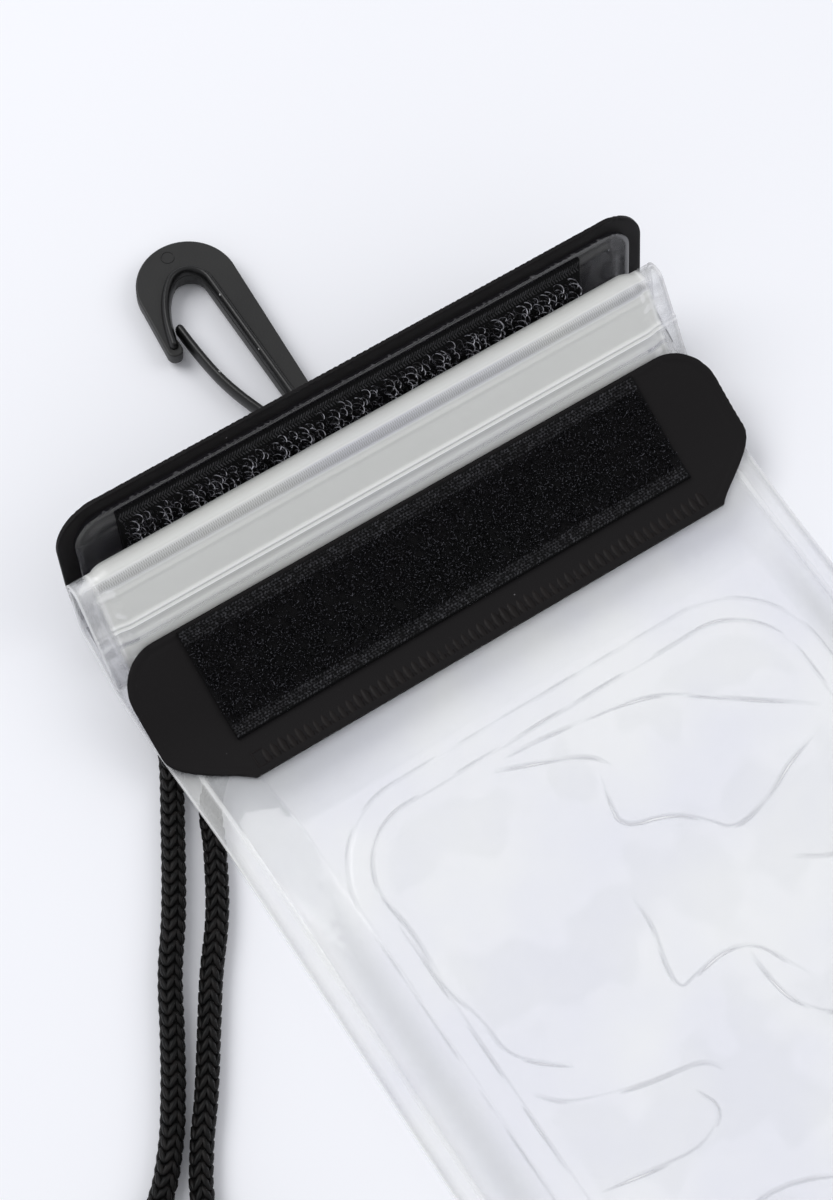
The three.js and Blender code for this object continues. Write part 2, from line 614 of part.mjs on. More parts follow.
function coilRing() {
  const middle = COIL_MEAN_DIAMETER / 2;
  const half = COIL_TURNS_WIDE * CORD_DIAMETER / 2 + CORD_GAP;
  const height = COIL_TURNS_HIGH * CORD_DIAMETER + CORD_GAP;
  const round = CORD_DIAMETER / 3;
  const profile = [[middle - half, round], [middle - half + round, 0], [middle + half - round, 0],
    [middle + half, round], [middle + half, height - round], [middle + half - round, height],
    [middle - half + round, height], [middle - half, height - round], [middle - half, round]];
  const geometry = new THREE.LatheGeometry(profile.map(([r, z]) => new THREE.Vector2(r, z)), 36);
  geometry.rotateX(Math.PI / 2);
  geometry.translate(COIL_X, COIL_Y, 0);
  return geometry;
}

// Materials
const finish = (color, roughness, extra = {}) => new THREE.MeshStandardMaterial({ color, roughness, ...extra });
const clearFilm = () => finish(0xdfe6ec, 0.12, { transparent: true, opacity: 0.4 });
const frostedZip = () => finish(0xf2f5f8, 0.5);
const flapFabric = () => finish(0x232124, 0.72);
const flapLining = () => finish(0x1d1c20, 0.22);
const tapeFabric = () => finish(0x0c0b0d, 0.95);
const hookPlastic = () => finish(0x2f2f31, 0.55);
const cordBraid = () => finish(0x141316, 0.9);

const CORD_NODES = ['cord_strand_out', 'cord_strand_back', 'cord_coil'];

function faceOutwards(geometry) {
  const solid = geometry.index ? geometry : mergeVertices(geometry);
  const position = solid.attributes.position;
  const a = new THREE.Vector3();
  const b = new THREE.Vector3();
  const c = new THREE.Vector3();
  let volume = 0;
  for (let i = 0; i < solid.index.count; i += 3) {
    a.fromBufferAttribute(position, solid.index.getX(i));
    b.fromBufferAttribute(position, solid.index.getX(i + 1));
    c.fromBufferAttribute(position, solid.index.getX(i + 2));
    volume += a.dot(b.cross(c));
  }
  if (volume < 0) {
    const flipped = [...solid.index.array];
    for (let i = 0; i < flipped.length; i += 3) {
      [flipped[i], flipped[i + 1]] = [flipped[i + 1], flipped[i]];
    }
    solid.setIndex(flipped);
  }
  return solid;
}

const pouch = new THREE.Group();

function add(name, geometry, material) {
  const mesh = new THREE.Mesh(faceOutwards(geometry), material);
  mesh.name = name;
  mesh.geometry.computeVertexNormals();
  pouch.add(mesh);
}

add('back_film', backFilm(), clearFilm());
add('front_film', frontFilm(), clearFilm());

const zipPlaces = [
  riserPiece.from + ZIP_MARGIN,
  foldedPiece.from + FOLD_MARGIN,
  foldedPiece.from + FOLD_MARGIN + ZIP_WIDTH + ZIP_SPACING,
];
zipPlaces.forEach((from, i) => {
  add(`zip_${i + 1}_rib_strip`, ribStrip(from), frostedZip());
  add(`zip_${i + 1}_groove_strip`, grooveStrip(from), frostedZip());
});

add('front_flap', frontFlap(), flapFabric());
add('loop_tape', loopTape(), tapeFabric());
add('back_flap', backFlap(), flapFabric());
add('back_flap_lining', backFlapLining(), flapLining());
add('hook_tape', hookTape(), tapeFabric());
add('snap_hook', snapHook(), hookPlastic());
add('cord_strand_out', cordTube(STRAND_OUT), cordBraid());
add('cord_strand_back', cordTube(STRAND_BACK), cordBraid());
add('cord_coil', coilRing(), cordBraid());

// Put the origin below the middle of the object's box, measured without the cord
const box = new THREE.Box3();
pouch.children.filter((mesh) => !CORD_NODES.includes(mesh.name)).forEach((mesh) => box.expandByObject(mesh));
const middle = box.getCenter(new THREE.Vector3());
pouch.position.set(-middle.x, -middle.y, -box.min.z);
pouch.updateMatrixWorld(true);

const object = new THREE.Group();
object.add(pouch);

export default object;
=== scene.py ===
"""Looks of the waterproof phone pouch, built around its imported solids.

Lengths are in millimetres until a mesh is made from them. Shapes use the part's own building frame,
where y = 0 is the front flap's weld line. The row frame's y is 46 mm more and its x 0.6 mm less.
"""

import json
import math

import bmesh
import bpy
import numpy as np
from mathutils import Matrix, Vector, noise

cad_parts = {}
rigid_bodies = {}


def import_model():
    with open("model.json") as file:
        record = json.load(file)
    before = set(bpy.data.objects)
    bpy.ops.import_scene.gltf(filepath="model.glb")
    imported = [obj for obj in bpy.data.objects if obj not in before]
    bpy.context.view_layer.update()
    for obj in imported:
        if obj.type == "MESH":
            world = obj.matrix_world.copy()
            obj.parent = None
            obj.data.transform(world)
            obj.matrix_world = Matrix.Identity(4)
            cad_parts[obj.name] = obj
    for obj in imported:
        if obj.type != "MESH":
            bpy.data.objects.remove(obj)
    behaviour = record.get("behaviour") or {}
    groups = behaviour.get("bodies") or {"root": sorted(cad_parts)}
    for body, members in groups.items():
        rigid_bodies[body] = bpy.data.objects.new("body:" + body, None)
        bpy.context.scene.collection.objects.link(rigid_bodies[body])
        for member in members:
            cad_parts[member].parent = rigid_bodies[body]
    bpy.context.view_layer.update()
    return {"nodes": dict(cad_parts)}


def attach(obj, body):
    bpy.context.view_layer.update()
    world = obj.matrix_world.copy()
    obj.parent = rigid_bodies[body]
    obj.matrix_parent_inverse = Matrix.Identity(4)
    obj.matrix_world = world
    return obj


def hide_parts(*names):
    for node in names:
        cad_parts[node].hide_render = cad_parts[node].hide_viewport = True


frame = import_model()
nodes = frame["nodes"]

MM = 0.001
TO_ROW = Vector((-0.6, 46, 0))
scene = bpy.context.scene
scene.cycles.transparent_max_bounces = 40  # for the films' many layers


# Camera, at the photograph's viewing angle
CAMERA_AZIMUTH = math.radians(-37.045)
CAMERA_ELEVATION = math.radians(64.105)
CAMERA_ROLL = math.radians(4.212)
CAMERA_LENS = 91.155
CAMERA_PLACE = Vector((-138.19, -115.94, 453.52))


def make_camera():
    back = Vector((
        math.sin(CAMERA_AZIMUTH) * math.cos(CAMERA_ELEVATION),
        -math.cos(CAMERA_AZIMUTH) * math.cos(CAMERA_ELEVATION),
        math.sin(CAMERA_ELEVATION),
    ))
    level = Vector((math.cos(CAMERA_AZIMUTH), math.sin(CAMERA_AZIMUTH), 0))
    upward = back.cross(level)
    right = math.cos(CAMERA_ROLL) * level + math.sin(CAMERA_ROLL) * upward
    up = math.cos(CAMERA_ROLL) * upward - math.sin(CAMERA_ROLL) * level
    data = bpy.data.cameras.new("camera")
    data.lens = CAMERA_LENS
    data.sensor_width = 36
    data.clip_start = 0.01
    camera = bpy.data.objects.new("camera", data)
    scene.collection.objects.link(camera)
    turn = Matrix((right, up, back)).transposed().to_4x4()
    camera.matrix_world = Matrix.Translation(CAMERA_PLACE * MM) @ turn
    scene.camera = camera


make_camera()


# Objects and meshes
def place(points):
    """Building-frame points in millimetres as row-frame points in metres."""
    return (np.asarray(points, float).reshape(-1, 3) + np.array(TO_ROW)) * MM


def new_object(name, data):
    made = bpy.data.objects.new(name, data)
    scene.collection.objects.link(made)
    return made


def new_mesh(name, points, faces, values=None, uv=None):
    mesh = bpy.data.meshes.new(name)
    mesh.from_pydata(place(points).tolist(), [], faces)
    for key, numbers in (values or {}).items():
        mesh.attributes.new(key, "FLOAT", "POINT").data.foreach_set("value", np.asarray(numbers, np.float32))
    if uv is not None:
        corner = np.empty(len(mesh.loops), np.int32)
        mesh.loops.foreach_get("vertex_index", corner)
        mesh.uv_layers.new(name="UVMap").data.foreach_set("uv", np.asarray(uv, np.float32)[corner].ravel())
    return mesh


def finished(source, name=None):
    """A plain mesh object with the source's modifiers applied. The source is removed."""
    graph = bpy.context.evaluated_depsgraph_get()
    mesh = bpy.data.meshes.new_from_object(source.evaluated_get(graph))
    name = name or source.name
    bpy.data.objects.remove(source)
    mesh.name = name
    return new_object(name, mesh)


def smooth_shaded(obj, sharp=40):
    obj.data.polygons.foreach_set("use_smooth", [True] * len(obj.data.polygons))
    obj.data.set_sharp_from_angle(angle=math.radians(sharp))
    return obj


def dressed(obj, material, replaces=()):
    """Gives a finished piece its material, attaches it to the root body and hides the parts that it stands
    for.
    """
    obj.data.materials.clear()
    obj.data.materials.append(material)
    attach(obj, "root")
    if replaces:
        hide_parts(*replaces)
    return obj


def ease(t):
    u = np.clip(t, 0, 1)
    return u * u * (3 - 2 * u)


def bump(distance, width):
    return np.exp(-(np.asarray(distance, float) / width) ** 2)


# Node trees
class Nodes:
    """A node tree with named inputs and outputs."""

    def __init__(self, tree):
        self.tree = tree
        self.ids = {}

    @classmethod
    def group(cls, name, kind):
        made = cls(bpy.data.node_groups.new(name, kind))
        made.start = made.tree.nodes.new("NodeGroupInput")
        made.end = made.tree.nodes.new("NodeGroupOutput")
        return made

    def given(self, name, kind, value=None):
        socket = self.tree.interface.new_socket(name, in_out="INPUT", socket_type="NodeSocket" + kind)
        if value is not None:
            socket.default_value = value
        self.ids[name] = socket.identifier
        return self.start.outputs[name]

    def result(self, name, kind, value):
        self.tree.interface.new_socket(name, in_out="OUTPUT", socket_type="NodeSocket" + kind)
        self.tree.links.new(value, self.end.inputs[name])

    def node(self, kind, inputs=None, **settings):
        made = self.tree.nodes.new(kind)
        for key, value in settings.items():
            setattr(made, key, value)
        for key, value in (inputs or {}).items():
            self.feed(made.inputs[key], value)
        return made

    def feed(self, socket, value):
        if isinstance(value, bpy.types.NodeSocket):
            self.tree.links.new(value, socket)
        else:
            socket.default_value = value

    def floats(self, **defaults):
        """Several number inputs, with their underscores made spaces."""
        return [self.given(key.replace("_", " "), "Float", value) for key, value in defaults.items()]

    def paint(self, name, value):
        self.feed(self.shader.inputs[name], value)

    def math(self, operation, a, b=0.0, c=0.0):
        return self.node("ShaderNodeMath", {0: a, 1: b, 2: c}, operation=operation).outputs[0]

    def remap(self, value, low, high, to_low=0.0, to_high=1.0):
        inputs = {"Value": value, "From Min": low, "From Max": high, "To Min": to_low, "To Max": to_high}
        return self.node("ShaderNodeMapRange", inputs).outputs["Result"]

    def blend(self, factor, a, b):
        made = self.node("ShaderNodeMix", data_type="RGBA")
        self.feed(made.inputs["Factor"], factor)
        self.feed(made.inputs[6], a)
        self.feed(made.inputs[7], b)
        return made.outputs[2]


def grown(source, tree, name, sizes=None, material=None):
    """The plain mesh that a Geometry Nodes tree grows on the source object, which is removed."""
    modifier = source.modifiers.new("grow", "NODES")
    modifier.node_group = tree.tree
    for key, value in (sizes or {}).items():
        modifier[tree.ids[key]] = value
    modifier[tree.ids["Material"]] = material
    return finished(source, name)


def geometry_tree(name):
    tree = Nodes.group(name, "GeometryNodeTree")
    tree.tree.is_modifier = True
    tree.shape = tree.given("Geometry", "Geometry")
    return tree


def close_tree(tree, instances):
    real = tree.node("GeometryNodeRealizeInstances", {"Geometry": instances})
    shaded = tree.node("GeometryNodeSetShadeSmooth", {"Geometry": real.outputs[0]})
    painted = tree.node("GeometryNodeSetMaterial", {
        "Geometry": shaded.outputs[0], "Material": tree.given("Material", "Material")})
    tree.result("Geometry", "Geometry", painted.outputs[0])
    return tree


def grain_of_rice(tree, length, width, height):
    """A rounded grain, long in z, wide in y and high in x."""
    ball = tree.node("GeometryNodeMeshUVSphere", {"Segments": 6, "Rings": 4, "Radius": 0.5})
    size = tree.node("ShaderNodeCombineXYZ", {0: height, 1: width, 2: length})
    return tree.node("GeometryNodeTransform", {
        "Geometry": ball.outputs["Mesh"], "Scale": size.outputs[0]}).outputs[0]


def on_points(tree, points, instance, **inputs):
    return tree.node("GeometryNodeInstanceOnPoints", {
        "Points": points, "Instance": instance, **inputs}).outputs[0]


def stitches_tree():
    """Knitted stitches round a cord: rings of leaning grains along the curve."""
    tree = geometry_tree("cord_stitches")
    pitch, length, width, height, lean, radius = tree.floats(
        Stitch_Pitch=0.002, Stitch_Length=0.0027, Stitch_Width=0.0012, Stitch_Height=0.0009, Lean=0.4,
        Ring_Radius=0.0015)
    columns = tree.given("Columns", "Int", 6)
    grains = tree.math("MULTIPLY", columns, 2)
    ring = tree.node("GeometryNodeMeshCircle", {"Vertices": grains, "Radius": radius})
    index = tree.node("GeometryNodeInputIndex").outputs[0]
    angle = tree.math("DIVIDE", tree.math("MULTIPLY", index, 2 * math.pi), grains)
    side = tree.math("MULTIPLY_ADD", tree.math("MODULO", index, 2), 2, -1)
    turn = tree.node("ShaderNodeCombineXYZ", {0: tree.math("MULTIPLY", side, lean), 1: 0.0, 2: angle})
    ring_of_grains = on_points(tree, ring.outputs["Mesh"], grain_of_rice(tree, length, width, height),
                               Rotation=turn.outputs[0])
    along = tree.node(
        "GeometryNodeCurveToPoints", {"Curve": tree.shape, "Length": pitch}, mode="LENGTH").outputs
    return close_tree(tree, on_points(tree, along["Points"], ring_of_grains, Rotation=along["Rotation"]))


def laid_tree(name, shape):
    """One shape on every vertex, turned by the vertex's own `turn` and sized by its own `size`."""
    tree = geometry_tree(name)
    turn, size = (
        tree.node("GeometryNodeInputNamedAttribute", {"Name": key}, data_type="FLOAT_VECTOR").outputs[0]
        for key in ("turn", "size"))
    return close_tree(tree, on_points(tree, tree.shape, shape(tree), Rotation=turn, Scale=size))


def small_grain(tree):
    return grain_of_rice(tree, *tree.floats(Length=0.001, Width=0.001, Height=0.001))


def bent_fibre(tree):
    """An arc of fibre that stands up from the surface in its own x-z plane."""
    radius, sweep, start, thick = tree.floats(Arc_Radius=0.0005, Sweep=4.0, Start=-0.4, Fibre_Radius=0.00005)
    steps = tree.given("Steps", "Int", 5)
    arc = tree.node("GeometryNodeCurveArc", {
        "Resolution": steps, "Radius": radius, "Start Angle": start, "Sweep Angle": sweep}, mode="RADIUS")
    section = tree.node("GeometryNodeCurvePrimitiveCircle", {"Resolution": 3, "Radius": thick}, mode="RADIUS")
    tube = tree.node("GeometryNodeCurveToMesh", {
        "Curve": arc.outputs[0], "Profile Curve": section.outputs[0], "Fill Caps": True})
    return tree.node("GeometryNodeTransform", {
        "Geometry": tube.outputs[0], "Rotation": (math.pi / 2, 0.0, 0.0)}).outputs[0]


def pile_tree():
    """Loops of fibre scattered over a patch of tape."""
    tree = geometry_tree("loop_pile")
    density, tilt = tree.floats(Loops_Per_Square_Metre=5.0e6, Tilt=0.8)
    seed = tree.given("Seed", "Int", 4)
    fibre = bent_fibre(tree)
    spots = tree.node("GeometryNodeDistributePointsOnFaces", {
        "Mesh": tree.shape, "Density": density, "Seed": seed}, distribute_method="RANDOM").outputs
    lean_back = tree.math("MULTIPLY", tilt, -1)
    least = tree.node("ShaderNodeCombineXYZ", {0: lean_back, 1: lean_back, 2: 0.0}).outputs[0]
    most = tree.node("ShaderNodeCombineXYZ", {0: tilt, 1: tilt, 2: 2 * math.pi}).outputs[0]
    turn = tree.node("FunctionNodeRandomValue", {0: least, 1: most, "Seed": 11}, data_type="FLOAT_VECTOR")
    size = tree.node("FunctionNodeRandomValue", {2: 0.6, 3: 1.35, "Seed": 12}, data_type="FLOAT")
    laid = on_points(tree, spots["Points"], fibre, Rotation=spots["Rotation"], Scale=size.outputs[1])
    return close_tree(tree, tree.node("GeometryNodeRotateInstances", {
        "Instances": laid, "Rotation": turn.outputs[0], "Local Space": True}).outputs[0])


def laid_out(name, tree, places, sizes, material):
    """Grows a laid tree on places, each a point, a 3x3 turn and a scale."""
    points, turns, scales = zip(*places)
    mesh = bpy.data.meshes.new(name)
    mesh.from_pydata(place(points).tolist(), [], [])
    for key, numbers in (("turn", [tuple(turn.to_euler()) for turn in turns]), ("size", scales)):
        attribute = mesh.attributes.new(key, "FLOAT_VECTOR", "POINT")
        attribute.data.foreach_set("vector", np.array(numbers, np.float32).ravel())
    return dressed(grown(new_object(name + "_points", mesh), tree, name, sizes, material), material)


# Shader groups that several materials share
def grain_group():
    """Fine moulded or coated grain: a height for bump and a shade that varies over the surface."""
    group = Nodes.group("fine_grain", "ShaderNodeTree")
    size, spread = group.floats(Grains_Per_Metre=3000.0, Patches_Per_Metre=60.0)
    spot = group.node("ShaderNodeTexCoord").outputs["Object"]
    for name, scale, detail, rough in (("Height", size, 2.0, 0.6), ("Shade", spread, 3.0, 0.55)):
        made = group.node("ShaderNodeTexNoise", {
            "Vector": spot, "Scale": scale, "Detail": detail, "Roughness": rough})
        group.result(name, "Float", made.outputs[0])
    return group


def dust_group():
    """Small pale specks, few and far apart."""
    group = Nodes.group("dust_specks", "ShaderNodeTree")
    count, size, share = group.floats(Cells_Per_Metre=300.0, Speck_Size=0.09, Share_Of_Cells=0.12)
    spot = group.node("ShaderNodeTexCoord").outputs["Object"]
    cells = group.node("ShaderNodeTexVoronoi", {"Vector": spot, "Scale": count})
    near = group.math("LESS_THAN", cells.outputs["Distance"], size)
    lottery = group.node("ShaderNodeSeparateColor", {0: cells.outputs["Color"]})
    chosen = group.math("LESS_THAN", lottery.outputs[0], share)
    group.result("Mask", "Float", group.math("MULTIPLY", near, chosen))
    return group


def weave_group():
    """Fine ribs and cross threads of a woven tape, on the piece's own UV map."""
    group = Nodes.group("tape_weave", "ShaderNodeTree")
    across, along = group.floats(Ribs_Per_Unit=1200.0, Threads_Per_Unit=900.0)
    spot = group.node("ShaderNodeUVMap", uv_map="UVMap").outputs[0]
    parts = group.node("ShaderNodeSeparateXYZ", {0: spot})
    ribs = group.math("SINE", group.math("MULTIPLY", parts.outputs[0], across))
    threads = group.math("SINE", group.math("MULTIPLY", parts.outputs[1], along))
    group.result("Height", "Float", group.remap(group.math("MULTIPLY", ribs, threads), -1.0, 1.0))
    return group


GRAIN = grain_group()
DUST = dust_group()
WEAVE = weave_group()


def srgb(red, green, blue):
    """A colour as a screen shows it, 0 to 255, in the linear values that a shader takes."""
    parts = [c / 255 for c in (red, green, blue)]
    return [c / 12.92 if c <= 0.04045 else ((c + 0.055) / 1.055) ** 2.4 for c in parts] + [1.0]


def new_material(name, **plain):
    """A material with one Principled shader. Plain values go on its own sockets."""
    material = bpy.data.materials.new(name)
    material.use_nodes = True
    made = Nodes(material.node_tree)
    made.shader = material.node_tree.nodes["Principled BSDF"]
    for key, value in plain.items():
        made.shader.inputs[key.replace("_", " ")].default_value = value
    made.material = material
    return made


def use_group(made, group, **inputs):
    placed = made.node("ShaderNodeGroup", node_tree=group.tree)
    for key, value in inputs.items():
        made.feed(placed.inputs[key.replace("_", " ")], value)
    return placed.outputs


def relief(made, height, strength, distance):
    """Feeds a height through a Bump node to the shader's Normal."""
    node = made.node("ShaderNodeBump", {"Height": height, "Strength": strength, "Distance": distance})
    made.feed(made.shader.inputs["Normal"], node.outputs[0])


def grained_material(name, sizes, colours, rough, specular, glints=(0.0, 1.0), dust=None, bumps=None,
                     **plain):
    """Noise mixes two colours and sets the roughness, with dust and a bump where they are given.

    The noise is the first colour below the first of its glints, and the second above the other.
    """
    made = new_material(name, Specular_IOR_Level=specular, **plain)
    grain = use_group(made, GRAIN, Grains_Per_Metre=sizes[0], Patches_Per_Metre=sizes[1])
    made.shade = grain["Shade"]
    colour = made.blend(made.remap(made.shade, *glints), *colours)
    if dust:
        cells, speck, share, pale = dust
        specks = use_group(made, DUST, Cells_Per_Metre=cells, Speck_Size=speck, Share_Of_Cells=share)
        colour = made.blend(specks["Mask"], colour, pale)
    made.paint("Base Color", colour)
    made.paint("Roughness", made.remap(made.shade, *rough))
    if bumps:
        relief(made, grain["Height"], *bumps)
    return made


# Fibres: above the glints the noise gives the light colour, painted highlights along the fibres
def fibre_material(name, glints, dark, light, roughness, specular, patches=1500.0):
    rough = (0.0, 1.0, roughness, roughness + 0.2)
    return grained_material(name, (5000.0, patches), (dark, light), rough, specular, glints).material


def hook_material(name, dark, light, roughness):
    return grained_material(
        name, (2600.0, 120.0), (dark, light), (0.0, 1.0, roughness, roughness + 0.2), 0.42,
        dust=(520.0, 0.12, 0.1, srgb(165, 165, 165)), bumps=(0.22, 0.0001)).material


def lining_material():
    made = grained_material(
        "flap_lining", (900.0, 70.0), (srgb(26, 25, 28), srgb(41, 40, 44)), (0.2, 0.8, 0.14, 0.24), 0.62,
        dust=(420.0, 0.08, 0.1, srgb(150, 150, 155)), bumps=(0.05, 0.0002), Coat_Roughness=0.06)
    made.paint("Coat Weight", made.remap(made.shade, 0.3, 0.7, 0.5, 0.8))
    return made.material


def tape_material(name, dark, light):
    made = new_material(name, Specular_IOR_Level=0.18)
    grain = use_group(made, GRAIN, Grains_Per_Metre=1600.0, Patches_Per_Metre=260.0)
    weave = use_group(made, WEAVE, Ribs_Per_Unit=1400.0, Threads_Per_Unit=1250.0)
    thread = made.math("MULTIPLY", weave["Height"], grain["Shade"])
    made.paint("Base Color", made.blend(thread, dark, light))
    made.paint("Roughness", made.remap(grain["Shade"], 0.0, 1.0, 0.75, 0.95))
    relief(made, weave["Height"], 0.6, 0.0002)
    return made.material


def let_light_through(made, alpha, share):
    """The alpha as given for what is seen, and only a share of it for light on its way to what lies below."""
    path = made.node("ShaderNodeLightPath").outputs
    lighting = made.math("MAXIMUM", path["Is Shadow Ray"], path["Is Diffuse Ray"])
    return made.math("MULTIPLY", alpha, made.remap(lighting, 0.0, 1.0, 1.0, share))


def marks_of(made, *names):
    """The vertex values of these names."""
    return [made.node("ShaderNodeAttribute", attribute_name=name).outputs["Fac"] for name in names]


def film_material():
    """Clear film: nearly clear on its faces, marked along its edges, welds and creases with painted shade and
    painted highlights, and greyed by painted shade on its sloping sides, below the front flap and where it
    turns edge-on.
    """
    made = new_material("clear_film", IOR=1.5, Specular_IOR_Level=0.9)
    grain = use_group(made, GRAIN, Grains_Per_Metre=220.0, Patches_Per_Metre=34.0)
    line, gleam, painted_shade_and_cling, frost, hatch = marks_of(made, "line", "gleam", "painted_shade_and_cling", "frost", "hatch")
    weave = use_group(made, WEAVE, Ribs_Per_Unit=1550.0, Threads_Per_Unit=600.0)
    facing = made.node("ShaderNodeLayerWeight", {"Blend": 0.3}).outputs["Facing"]
    clear = made.blend(made.remap(grain["Shade"], 0.4, 0.6), srgb(224, 225, 235), srgb(240, 241, 239))
    # Painted shade on the sloping sides and the front flap's painted shadow below it, with the grey of the
    # window's cling patches
    with_painted_shade = made.blend(painted_shade_and_cling, clear, srgb(186, 188, 190))
    # Painted shade where the film turns edge-on to the view
    turned = made.blend(facing, with_painted_shade, srgb(176, 178, 180))
    # Painted shade: dark lines along the edges, weld borders, crushed zip ends and the neck's gaps and
    # grooves
    marked = made.blend(line, turned, srgb(118, 120, 123))
    crossed = made.blend(made.math("MULTIPLY", hatch, weave["Height"]), marked, srgb(158, 158, 154))
    frosted = made.blend(frost, crossed, srgb(223, 224, 220))
    # Painted highlights along the edges, weld borders, crushed zip ends and the neck's beads and edges
    made.paint("Base Color", made.blend(gleam, frosted, srgb(250, 250, 251)))
    alpha = FILM_ALPHA
    shares = ((facing, 0.18), (painted_shade_and_cling, 0.1), (line, 0.4), (gleam, 0.6), (frost, 0.6), (hatch, 0.32))
    for mask, share in shares:
        alpha = made.math("MULTIPLY_ADD", mask, share, alpha)
    made.paint("Alpha", let_light_through(made, made.math("MINIMUM", alpha, 0.95), 0.08))
    made.paint("Roughness", made.remap(frost, 0.0, 1.0, 0.1, 0.42))
    relief(made, grain["Height"], 0.12, 0.0006)
    return made.material


def crease_material():
    """Clear but for its marks: painted shade on its dark side and a painted highlight on its bright side."""
    made = new_material("film_crease", Specular_IOR_Level=0.6, Roughness=0.2)
    line, gleam = marks_of(made, "line", "gleam")
    made.paint("Base Color", made.blend(gleam, srgb(132, 135, 142), srgb(253, 253, 254)))
    alpha = made.math("ADD", made.math("MULTIPLY", line, 0.24), made.math("MULTIPLY", gleam, 0.8))
    made.paint("Alpha", let_light_through(made, alpha, 0.2))
    return made.material


def zip_material():
    made = grained_material("frosted_zip", (1500.0, 80.0), (srgb(222, 223, 220), srgb(237, 238, 235)),
                            (0.0, 1.0, 0.38, 0.56), 0.5, bumps=(0.15, 0.0001))
    alpha = made.remap(made.shade, 0.2, 0.8, 0.84, 0.94)
    made.paint("Alpha", let_light_through(made, alpha, 0.3))
    return made.material


FILM_ALPHA = 0.13
FLAP_COVER = grained_material(
    "flap_cover", (4200.0, 45.0), (srgb(13, 11, 12), srgb(22, 20, 21)), (0.0, 1.0, 0.52, 0.78), 0.16,
    dust=(330.0, 0.05, 0.25, srgb(112, 110, 112)), bumps=(0.35, 0.0001)).material
WELD_STRIP = grained_material(
    "weld_strip", (2500.0, 160.0), (srgb(15, 12, 12), srgb(25, 21, 20)), (0.0, 1.0, 0.4, 0.62), 0.16,
    bumps=(0.25, 0.0001)).material
LINING = lining_material()
LOOP_TAPE = tape_material("loop_tape_weave", srgb(2, 2, 3), srgb(9, 9, 10))
HOOK_TAPE = tape_material("hook_tape_weave", srgb(3, 3, 4), srgb(10, 10, 11))
LOOP_FIBRE = fibre_material("loop_fibre", (0.52, 0.66), srgb(1, 1, 2), srgb(88, 88, 94), 0.55, 0.1, 3200.0)
# The fans' hooks are painted brighter than the curls: painted highlights on hooks that catch the light,
# painted shade on the curls
HOOK_FIBRE_PAINTED_GLINTS = fibre_material("hook_fibre", (0.42, 0.56), srgb(22, 22, 25), srgb(196, 196, 204), 0.22, 0.8)
CURL_FIBRE_PAINTED_SHADE = fibre_material("curl_fibre", (0.44, 0.62), srgb(4, 4, 6), srgb(126, 126, 134), 0.3, 0.6)
SELVAGE = fibre_material("selvage_thread", (0.42, 0.66), srgb(5, 5, 6), srgb(58, 58, 61), 0.6, 0.2)
RIBBING = fibre_material("tape_ribbing", (0.35, 0.65), srgb(22, 22, 23), srgb(62, 62, 64), 0.5, 0.35)
HOOK_PLASTIC = hook_material("hook_plastic", srgb(22, 22, 22), srgb(36, 36, 35), 0.36)
# The bead and the gate take a darker copy of the hook's plastic: painted shade
HOOK_PLASTIC_PAINTED_SHADE = hook_material("hook_plastic_painted_shade", srgb(9, 9, 9), srgb(17, 17, 17), 0.24)
# A nearly black copy of the hook's plastic for the rib beside the bead: painted shade of the groove
HOOK_RECESS_PAINTED_SHADE = hook_material("hook_recess_painted_shade", srgb(3, 3, 3), srgb(8, 8, 8), 0.7)
CORD_BRAID = fibre_material("cord_braid", (0.44, 0.66), srgb(1, 1, 1), srgb(19, 16, 15), 0.4, 0.2, 900.0)
CORD_CORE = tape_material("cord_core", srgb(2, 2, 2), srgb(6, 6, 6))
CLEAR_FILM = film_material()
FILM_CREASE = crease_material()
FROSTED_ZIP = zip_material()


# Neck cord: one loop from the hook's socket, round its coil and back
CORD_CORE_RADIUS = 1.5
STRAND_OUT = [
    (-7.5, 37.3, 3.0), (-7.6, 33, 2.7), (-9.5, 27.5, 2.1), (-16, 23.5, 2), (-27, 22, 2), (-38, 21.5, 2),
    (-47.5, 19, 2), (-52.4, 14, 2), (-55.7, 8.1, 2), (-59.8, 1, 2), (-67.8, -12.4, 2), (-73.5, -20.8, 2),
    (-78.1, -29, 2), (-82.8, -37, 2), (-88.1, -44.8, 2), (-94, -50.9, 2), (-101.5, -54.9, 2),
    (-108.5, -57.7, 2), (-113.8, -59.2, 2),
]
STRAND_BACK = [
    (-2.5, 37.3, 3.0), (-2.6, 32, 2.6), (-4.6, 25, 2), (-10.5, 18.5, 2), (-20, 14.6, 2), (-32, 11.8, 2),
    (-44, 7.5, 2), (-52.6, 1, 2), (-56.6, -6.6, 2), (-62, -16, 2), (-68.1, -24.2, 2), (-73.4, -32.1, 2),
    (-78.7, -40, 2), (-84.2, -47.6, 2), (-88, -54.5, 2.3), (-89.2, -62, 3.4), (-88.7, -70, 4.8),
    (-87.9, -79, 6),
]
COIL_MIDDLE = (-116.5, -88.0)
# The coil's turns: angle in degrees, radius and height. Two turns lie on the floor, two on those.
COIL_STEPS = [
    (84.6, 28.9, 2.0), (110, 26.6, 2.0), (150, 24.3, 2.0), (450, 24.2, 2.0), (480, 21.9, 2.0),
    (510, 20.1, 2.0), (780, 20.1, 2.0), (810, 20.1, 4.0), (840, 20.1, 6.1), (1100, 20.1, 6.1),
    (1125, 22.2, 6.1), (1150, 24.2, 6.1), (1420, 24.2, 6.1),
]
COIL_STEP_DEGREES = 27


